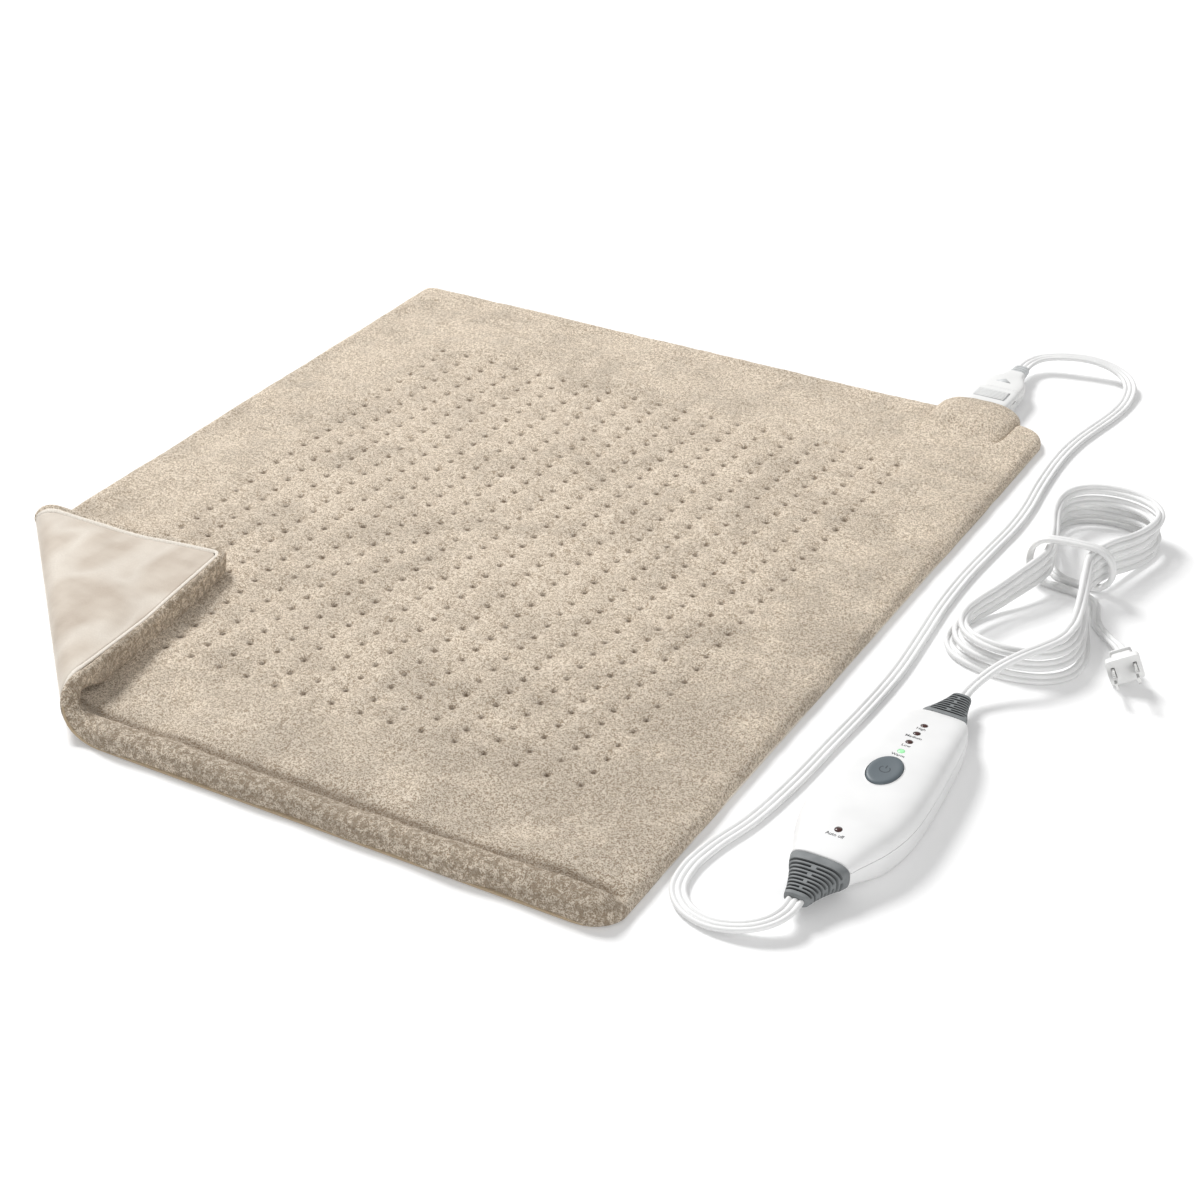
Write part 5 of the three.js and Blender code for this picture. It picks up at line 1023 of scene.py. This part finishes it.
# %% Cord half of the connector
def coupler_half(upper):
    shares = [(0, 1, 0), (0.05, 1, 0), (0.13, 1, 0), (0.24, 0.975, 0), (0.35, 0.93, 0), (0.45, 0.8, 0.09), (0.55, 0.62, 0.25),
              (0.64, 0.42, 0.46), (0.72, 0.25, 0.7), (0.79, 0.13, 0.85), (0.86, 0.06, 0.95), (1, 0, 1)]
    rows = [
        (338.3 + 35 * length, 6.9 + 9.1 * width, 6.5 - 2 * taper) for length, width, taper in shares
    ]
    rows = [(338.3, 15.5, 6.0), (338.7, 15.85, 6.35), (339.3, 16, 6.5)] + rows[1:-1] + [(372.9, 6.9, 4.5), (373.3, 6.6, 4.2)]
    away = (-5, SOCKET_Z + 0.15) if upper else (SOCKET_Z - 0.15, 30)
    tools = [
        block((SOCKET_X - 12.4, 330, SOCKET_Z - 3.85), (SOCKET_X + 12.4, 346, SOCKET_Z + 3.85)),
        block((SOCKET_X - 40, 330, away[0]), (SOCKET_X + 40, 380, away[1])),
    ]
    return carve(loft(bar_rings(rows, 4.6)), *tools)


keep("coupler_top_shell", coupler_half(True), connector_white, "control_set", ["connector_upper_shell"])
keep("coupler_base_shell", coupler_half(False), connector_white, "control_set", ["connector_lower_shell"])

arrow = bmesh.new()
bmesh.ops.create_cone(arrow, cap_ends=True, segments=3, radius1=1, radius2=0.94, depth=1)
low_y = min(vert.co.y for vert in arrow.verts)
span_x = max(vert.co.x for vert in arrow.verts) - min(vert.co.x for vert in arrow.verts)
span_y = max(vert.co.y for vert in arrow.verts) - low_y
for vert in arrow.verts:
    vert.co = (SOCKET_X + vert.co.x * 11 / span_x, 347.3 + (vert.co.y - low_y) * 5.5 / span_y, 14.75 + 0.6 * vert.co.z)
keep("up_arrow", arrow, ledge_grey, "control_set")

# %% Ribbed strain relief of the connector
relief_rows = [(373.6, 6.0, 4.0)]
for i in range(4):
    start = 373.6 + 3.5 * i
    half_width, half_height = 6.2 - 0.2 * i, 4.2 - 0.3 * i
    relief_rows += [
        (start + 0.05, half_width - 0.3, half_height - 0.3), (start + 0.35, half_width, half_height),
        (start + 1.8, half_width - 0.1, half_height - 0.1), (start + 2.1, half_width - 0.4, half_height - 0.4),
        (start + 2.25, half_width - 1.1, half_height - 1.1), (start + 3.3, half_width - 1.2, half_height - 1.2),
    ]
relief_rows.append((387.6, 4.95, 2.2))
keep("relief_ribs", loft(bar_rings(relief_rows, 3)), ledge_grey, "control_set", ["connector_relief"])

# %% [markdown]
# The controller's housing is the hardest shape here: a teardrop in plan with a nearly
# flat top, a soft shoulder that falls to a parting line at mid-height, and a fuller
# belly. Its section is one outline table, scaled ring by ring with shares of the
# length, so that the long curves stay fair.

# %% Outline of the housing's section
def half_outline(table, count):
    return flow([(x, z) for x, z in table], count=count)


HOUSING_TABLE = [
    (0, 1), (0.3, 0.993), (0.5, 0.974), (0.64, 0.942), (0.75, 0.885), (0.84, 0.785), (0.905, 0.65), (0.955, 0.47),
    (0.985, 0.27), (1, 0), (1, -0.3), (0.995, -0.62), (0.98, -0.8), (0.95, -0.92), (0.9, -0.98), (0.8, -1), (0.35, -1), (0, -1),
]
oval_table = [
    (abs(math.cos(turn)) ** (2 / 2.8), math.copysign(abs(math.sin(turn)) ** (2 / 2.8), math.sin(turn)))
    for turn in np.linspace(math.pi / 2, -math.pi / 2, 25)
]
HALF_POINTS = 34
crown_half, oval_half = half_outline(HOUSING_TABLE, HALF_POINTS), half_outline(oval_table, HALF_POINTS)


def section_ring(y, half, top, bottom, middle, square, shrink=0.0):
    """One ring of the housing: square is 1 for the housing's own section and 0 for an oval."""
    outline = square * crown_half + (1 - square) * oval_half
    right = [
        ((half - shrink) * x, y, middle + z * ((top - middle - shrink) if z > 0 else (middle - bottom - shrink)))
        for x, z in outline
    ]
    return right + [(-x, y, z) for x, y, z in right[-2:0:-1]]


# %% Housing shells
BODY_SHARES = [  # along, half width, top, bottom
    (0, 0.555, 0.76, 0.1), (0.026, 0.6, 0.8, 0.075), (0.077, 0.708, 0.86, 0.03), (0.148, 0.85, 0.925, 0),
    (0.235, 0.957, 0.965, 0), (0.327, 1, 0.99, 0), (0.43, 0.985, 1, 0), (0.545, 0.94, 1, 0),
    (0.665, 0.875, 0.985, 0), (0.78, 0.8, 0.945, 0), (0.87, 0.72, 0.88, 0), (0.935, 0.625, 0.785, 0.02),
    (0.975, 0.525, 0.67, 0.05), (1, 0.44, 0.57, 0.08),
]
BODY_HALF = 77.25
PARTING, SEAM = 12.5, 13.9
body_rows = flow([(2 * BODY_HALF * (a - 0.5), 30 * w, 25 * t, 25 * b) for a, w, t, b in BODY_SHARES], count=72)


def housing_rings(shrink, rows):
    rings = []
    for y, half, top, bottom in rows:
        to_end = BODY_HALF - abs(y)
        square = 0.35 + 0.65 * float(smooth_ramp(to_end, 0, 26))
        lip = 0.7 * max(1 - to_end / 0.7, 0) ** 2
        rings.append(section_ring(y, half, top, max(bottom, 0.02), PARTING, square, shrink + lip))
    return rings


def near_ends(rows):
    """Extra rows close to both ends, for the rounded lip."""
    extra = [(side * (BODY_HALF - back),) for side in (-1, 1) for back in (0.12, 0.3, 0.5, 0.7)]
    ys = np.unique(np.concatenate([rows[:, 0], [e[0] for e in extra]]))
    return np.column_stack([ys] + [np.interp(ys, rows[:, 0], rows[:, i]) for i in (1, 2, 3)])


def top_height(y):
    return float(np.interp(y, body_rows[:, 0], body_rows[:, 2]))


LAMP_PLACES = {"high": 49.25, "medium": 39.25, "low": 29.25, "warm": 18.75, "auto_off": -57.75}
BUTTON_Y = -2.25


def housing_half(upper):
    inner_rows = np.array([row for row in body_rows if abs(row[0]) < BODY_HALF - 2.4])
    away = (-5, SEAM + 0.16) if upper else (SEAM - 0.16, 40)
    tools = [loft(housing_rings(2.2, inner_rows)), block((-50, -100, away[0]), (50, 100, away[1]))]
    if upper:
        tools.append(post((0, BUTTON_Y), 9.45, 13.95, 15, 30, 72))
        tools += [post((0, y), 2.15, 2.15, 15, 30, 24) for y in LAMP_PLACES.values()]
    else:
        tools += [post((x, y), 2.9, 2.9, -3, 3.6, 24) for y in (-44.25, 37.75) for x in (-12.5, 12.5)]
    return carve(loft(housing_rings(0, near_ends(body_rows))), *tools)


keep("controller_lid", housing_half(True), housing_white, "control_set",
     ["controller_top_shell"], at=CONTROLLER_AT, crease=32)
keep("controller_belly", housing_half(False), housing_white, "control_set",
     ["controller_bottom_shell"], at=CONTROLLER_AT, crease=32)

# %% [markdown]
# The power button is an oval dome of blue-grey plastic, slightly dished, in a thin
# bright rim. Its sign is the usual ring with a bar, drawn as faint raised lines.

# %% Power button
button_blue = moulded("button_blue", (0.125, 0.152, 0.17), 0.5, peel=0.5)
sign_grey = moulded("sign_grey", (0.055, 0.068, 0.078), 0.5)
BUTTON_TOP = top_height(BUTTON_Y) + 1.2
button_profile = [
    (0, BUTTON_TOP - 0.35), (5, BUTTON_TOP - 0.28), (9, BUTTON_TOP - 0.08), (11, BUTTON_TOP), (12.3, BUTTON_TOP - 0.12),
    (13.1, BUTTON_TOP - 0.5), (13.5, BUTTON_TOP - 1.1), (13.65, BUTTON_TOP - 2), (13.65, BUTTON_TOP - 6), (0, BUTTON_TOP - 6),
]
oval_fit = Matrix.Translation((0, BUTTON_Y, 0)) @ Matrix.Diagonal((18.3 / 27.3, 1, 1, 1))
button = keep("power_button_cap", moved(spun(button_profile, 72), oval_fit), button_blue, "power_button",
              ["power_button"], at=CONTROLLER_AT, crease=50)
rim_profile = [(13.95, 0), (13.98, 0.16), (14.15, 0.24), (14.35, 0.2), (14.55, 0.06), (14.6, -0.3), (13.95, -0.3)]


def ring_of(profile, steps=72):
    """A closed outline of points (radius, height) spun into a ring."""
    shape = bmesh.new()
    line = [shape.verts.new((radius, 0, height)) for radius, height in profile]
    edges = [shape.edges.new(pair) for pair in zip(line, line[1:] + line[:1])]
    bmesh.ops.spin(shape, geom=line + edges, axis=(0, 0, 1), cent=(0, 0, 0), angle=2 * math.pi, steps=steps, use_merge=True)
    bmesh.ops.remove_doubles(shape, verts=shape.verts, dist=0.0005)
    bmesh.ops.recalc_face_normals(shape, faces=shape.faces)
    return shape


seat = Matrix.Translation((0, 0, top_height(BUTTON_Y) - 0.05))
keep("button_rim", moved(ring_of(rim_profile), seat @ oval_fit), housing_white, "control_set",
     at=CONTROLLER_AT, crease=50)


# %% The sign on the button
def power_sign():
    shape = bmesh.new()
    line = [shape.verts.new((r, 0, z)) for r, z in ((2.5, 0), (3.1, 0), (3.1, 0.08), (2.5, 0.08))]
    edges = [shape.edges.new(pair) for pair in zip(line, line[1:] + line[:1])]
    start = Matrix.Rotation(math.radians(90 + 38), 4, "Z")
    bmesh.ops.transform(shape, matrix=start, verts=shape.verts)
    bmesh.ops.spin(shape, geom=line + edges, axis=(0, 0, 1), cent=(0, 0, 0), angle=math.radians(284), steps=28)
    bmesh.ops.holes_fill(shape, edges=[edge for edge in shape.edges if edge.is_boundary], sides=0)
    bmesh.ops.recalc_face_normals(shape, faces=shape.faces)
    bar = block((-0.32, 1.1, 0), (0.32, 3.7, 0.08))
    return moved(joined(shape, bar), Matrix.Translation((0, BUTTON_Y, BUTTON_TOP - 0.36)))


keep("power_sign", power_sign(), sign_grey, "power_button", at=CONTROLLER_AT)

# %% [markdown]
# Five small lamps show the setting. Each lens is a low dome of tinted plastic, and the
# lit one glows green. A lamp's label is text made into a mesh that lies on the lid.

# %% Lamps
def lens_finish(name, color, glow=0.0):
    finish = new_finish(name, color, 0.3, {"Coat Weight": 0.2, "Coat Roughness": 0.2})
    if glow:
        finish.node_tree.nodes["Principled BSDF"].inputs["Emission Color"].default_value = (*color, 1)
        finish.node_tree.nodes["Principled BSDF"].inputs["Emission Strength"].default_value = glow
    edge = spread(finish, grain(finish, 0.9, 2), 0.0, 0.5)
    feed(finish, "Base Color", tint(finish, edge, color, tuple(0.4 * channel for channel in color)))
    return finish


dark_lens = lens_finish("dark_lens", (0.07, 0.022, 0.018))
lit_lens = lens_finish("lit_lens", (0.36, 0.80, 0.42), 0.42)
for lamp, y in LAMP_PLACES.items():
    top = top_height(y)
    dome = [(0, top + 0.3), (0.7, top + 0.27), (1.3, top + 0.15), (1.7, top - 0.05), (1.9, top - 0.4), (1.9, top - 5), (0, top - 5)]
    lens = moved(spun(dome, 28), Matrix.Translation((0, y, 0)))
    finish, slot_name = (lit_lens, "lit_lens") if lamp == "warm" else (dark_lens, "dark_lens")
    keep(f"lens_{lamp}", lens, finish, "control_set", [f"led_{lamp}"], at=CONTROLLER_AT, crease=50)

# %% Labels beside the lamps
ink = new_finish("label_ink", (0.10, 0.10, 0.105), 0.55)
feed(ink, "Roughness", spread(ink, grain(ink, 0.6, 2), 0.45, 0.65))


def label(name, words, y, size):
    """Words laid on the lid just below a lamp."""
    text = bpy.data.curves.new(name, "FONT")
    text.body, text.size, text.align_x, text.extrude = words, size, "CENTER", 0.02
    text.offset = 0.035
    text.resolution_u = 2
    loose = bpy.data.objects.new("loose", text)
    bpy.context.scene.collection.objects.link(loose)
    bpy.context.view_layer.update()
    letters = bpy.data.meshes.new_from_object(loose.evaluated_get(bpy.context.evaluated_depsgraph_get()))
    shape = bmesh.new()
    shape.from_mesh(letters)
    bpy.data.meshes.remove(letters)
    bpy.data.objects.remove(loose)
    bpy.data.curves.remove(text)
    moved(shape, Matrix.Translation((0, y, 0)))
    for vert in shape.verts:
        vert.co.z += top_height(vert.co.y) + 0.03
    return keep(name, shape, ink, "control_set", at=CONTROLLER_AT)


for lamp, words in {"high": "High", "medium": "Medium", "low": "Low", "warm": "Warm", "auto_off": "Auto off"}.items():
    label(f"label_{lamp}", words, LAMP_PLACES[lamp] - 5.2, 2.9)

# %% [markdown]
# Each strain relief is a tapered rubber boot with a plain collar and nine slots. Every
# slot stops short of a bridge, at the sides in one and at the top and bottom in the
# next, so that the boot can bend both ways. One skin makes all of it: at a slot the
# ring's points drop to the core, except those on the bridge.

# %% Strain reliefs
rubber = new_finish("boot_rubber", (0.215, 0.227, 0.232), 0.6, {"Specular IOR Level": 0.35})
roughen(rubber, grain(rubber, 0.5, 3), 0.03, 0.7)
# Painted shade: points inside the slots are nearly black, for the shade deep in each slot.
painted_slot_shade = rubber.node_tree.nodes.new("ShaderNodeAttribute")
painted_slot_shade.attribute_name = "slot"
worn = tint(rubber, spread(rubber, grain(rubber, 5, 3), 0, 1), (0.185, 0.197, 0.202), (0.245, 0.257, 0.262))
feed(rubber, "Base Color", tint(rubber, painted_slot_shade.outputs["Fac"], worn, (0.006, 0.006, 0.007)))
TAPER = [(0, 0), (0.08, 0.02), (0.18, 0.16), (0.34, 0.39), (0.54, 0.62), (0.77, 0.84), (1, 1)]


def boot(side, shares, length, collar, slot_width, slot_pitch, bridge, end_half, end_top, end_bottom):
    """Rings of a boot, and for each of them which points lie in a slot and get painted shade."""
    _, half_share, top_share, bottom_share = shares
    stations = [(0, 0.5, None), (0.25, 0.12, None), (0.6, 0, None), (collar - 0.3, 0, None)]
    for i in range(9):
        first = collar + i * slot_pitch
        stations += [(first, 0, None), (first + 0.03, 1, i), (first + slot_width - 0.03, 1, i), (first + slot_width, 0, None)]
    stations += [(length - 0.7, 0, None), (length - 0.25, 0.15, None), (length, 0.6, None)]
    rings, slot_shade_marks = [], []
    for back, sink, slot_index in stations:
        taper = float(np.interp(back / length, *np.array(TAPER).T))
        half = 30 * half_share + (end_half - 30 * half_share) * taper
        top = 25 * top_share + (end_top - 25 * top_share) * taper
        bottom = 25 * bottom_share + (end_bottom - 25 * bottom_share) * taper
        middle = PARTING + ((end_top + end_bottom) / 2 - PARTING) * taper
        y = side * (BODY_HALF + 0.3 + back)
        if slot_index is None:
            rings.append(section_ring(y, half, top, bottom, middle, 0.35 * (1 - taper), sink))
            slot_shade_marks.append([0.0] * len(rings[-1]))
            continue
        outer = section_ring(y, half, top, bottom, middle, 0.35 * (1 - taper))
        ring, marks = [], []
        for x, y_place, z in outer:
            across = abs(z - middle) if slot_index % 2 == 0 else abs(x)
            held = across < bridge / 2
            ring.append((x, y_place, z) if held else (x * 0.72, y_place, middle + (z - middle) * 0.72))
            marks.append(0.0 if held else 1.0)
        rings.append(ring)
        slot_shade_marks.append(marks)
    return rings, slot_shade_marks


def boot_shape(rings, slot_shade_marks):
    shape = loft(rings)
    # The slot layer carries the painted shade inside the slots.
    layer = shape.verts.layers.float.new("slot")
    marks = {tuple(round(c, 3) for c in place): mark for ring, row in zip(rings, slot_shade_marks) for place, mark in zip(ring, row)}
    for vert in shape.verts:
        vert[layer] = marks.get(tuple(round(c, 3) for c in vert.co), 0.0)
    return shape


lead_boot = keep(
    "lead_strain_relief", boot_shape(*boot(-1, BODY_SHARES[0], 27.5, 5, 1.4, 2.35, 3, 6.6, 13.6, 6.4)),
    rubber, "control_set", ["lead_boot"], at=CONTROLLER_AT,
)
supply_boot = keep(
    "supply_strain_relief", boot_shape(*boot(1, BODY_SHARES[-1], 26.5, 3.4, 1.5, 2.4, 2.6, 5.6, 12.8, 6.2)),
    rubber, "control_set", ["supply_boot"], at=CONTROLLER_AT,
)

# %% [markdown]
# What stays inside keeps the frame's own shapes, which are right already. Metal, felt,
# wire and board only need finishes that suit them when the shells come off.

# %% Finishes for the carried-over nodes
steel = new_finish("nickel_steel", (0.66, 0.66, 0.65), 0.28, {"Metallic": 1.0})
feed(steel, "Roughness", spread(steel, grain(steel, 2.5, 4, (1, 6, 1)), 0.2, 0.4))
roughen(steel, grain(steel, 0.5, 2, (1, 8, 1)), 0.01, 0.5)
brass = new_finish("tinned_brass", (0.72, 0.58, 0.32), 0.3, {"Metallic": 1.0})
feed(brass, "Roughness", spread(brass, grain(brass, 1.2, 3), 0.22, 0.42))
felt = new_finish("carrier_felt", (0.62, 0.60, 0.56), 0.95, {"Sheen Weight": 0.2})
feed(felt, "Base Color", tint(felt, spread(felt, grain(felt, 2, 4), 0, 1), (0.52, 0.50, 0.46), (0.68, 0.66, 0.62)))
roughen(felt, grain(felt, 1.0, 3), 0.5, 0.7)
wire = moulded("wire_jacket", (0.55, 0.52, 0.46), 0.5)
black = moulded("black_plastic", (0.03, 0.03, 0.032), 0.42)
green = new_finish("board_green", (0.03, 0.16, 0.07), 0.4, {"Coat Weight": 0.4})
feed(green, "Base Color", tint(green, spread(green, grain(green, 3, 1), 0, 1), (0.025, 0.13, 0.055), (0.05, 0.22, 0.09)))
carried_over = {
    steel: ["plug_blade_1", "plug_blade_2", "mains_fuse"] + [f"housing_screw_{i}" for i in (1, 2, 3, 4)],
    brass: [f"receptacle_pin_{i}" for i in (1, 2, 3)] + [f"connector_contact_{i}" for i in (1, 2, 3)],
    felt: ["heater_carrier"],
    wire: ["heating_wire"],
    black: ["receptacle_pin_block", "tact_switch", "film_capacitor", "control_chip", "triac_body", "surge_block", "pad_thermostat"],
    green: ["circuit_board"],
    connector_white: ["connector_nose", "latch_left", "latch_right"],
}
for finish, names in carried_over.items():
    for name in names:
        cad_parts[name].material_slots[0].material = finish
print("finishes on", sum(len(names) for names in carried_over.values()), "carried-over nodes")

# %% [markdown]
# The studio is plain: a pale floor, an even sky, and one large soft lamp at the back
# left, whose shadows fall to the front right. The camera sees the floor a little
# brighter than it is, so that the background is white and the shadows stay.

# %% Floor and light
floor_shape = bmesh.new()
bmesh.ops.create_grid(floor_shape, x_segments=1, y_segments=1, size=9)
floor_data = bpy.data.meshes.new("studio_floor")
floor_shape.to_mesh(floor_data)
floor_shape.free()
floor = bpy.data.objects.new("studio_floor", floor_data)
bpy.context.scene.collection.objects.link(floor)
floor_paint = new_finish("floor_paint", (0.83, 0.83, 0.83), 0.9, {"Specular IOR Level": 0.1})
nodes, links = floor_paint.node_tree.nodes, floor_paint.node_tree.links
path = nodes.new("ShaderNodeLightPath")
seen = combine(floor_paint, "ADD", path.outputs["Is Camera Ray"], path.outputs["Is Glossy Ray"])
seen = combine(floor_paint, "ADD", seen, path.outputs["Is Transmission Ray"])
glow = nodes.new("ShaderNodeEmission")
glow.inputs["Color"].default_value = (1, 1, 1, 1)
links.new(combine(floor_paint, "MULTIPLY", seen, 0.19), glow.inputs["Strength"])
both = nodes.new("ShaderNodeAddShader")
links.new(nodes["Principled BSDF"].outputs[0], both.inputs[0])
links.new(glow.outputs[0], both.inputs[1])
links.new(both.outputs[0], nodes["Material Output"].inputs["Surface"])
floor_data.materials.append(floor_paint)

world = bpy.data.worlds.new("studio_sky")
world.use_nodes = True
sky = world.node_tree.nodes["Background"]
sky_path = world.node_tree.nodes.new("ShaderNodeLightPath")
level = world.node_tree.nodes.new("ShaderNodeMapRange")
level.inputs["To Min"].default_value = 0.41
level.inputs["To Max"].default_value = 1.0
world.node_tree.links.new(sky_path.outputs["Is Camera Ray"], level.inputs["Value"])
world.node_tree.links.new(level.outputs["Result"], sky.inputs["Strength"])
sky.inputs["Color"].default_value = (1, 1, 1, 1)
bpy.context.scene.world = world


def soft_lamp(name, place, target, size, power):
    data = bpy.data.lights.new(name, "AREA")
    data.shape, data.size, data.energy = "DISK", size, power
    lamp = bpy.data.objects.new(name, data)
    lamp.location = place
    lamp.rotation_euler = (Vector(target) - Vector(place)).to_track_quat("-Z", "Y").to_euler()
    bpy.context.scene.collection.objects.link(lamp)
    return lamp


soft_lamp("window_light", (-3.4, 2.0, 3.75), (0.05, 0, 0), 1.9, 305)
soft_lamp("low_fill", (2.1, -2.3, 0.8), (0.15, 0, 0), 1.2, 28)
bpy.context.scene.view_settings.view_transform = "Standard"
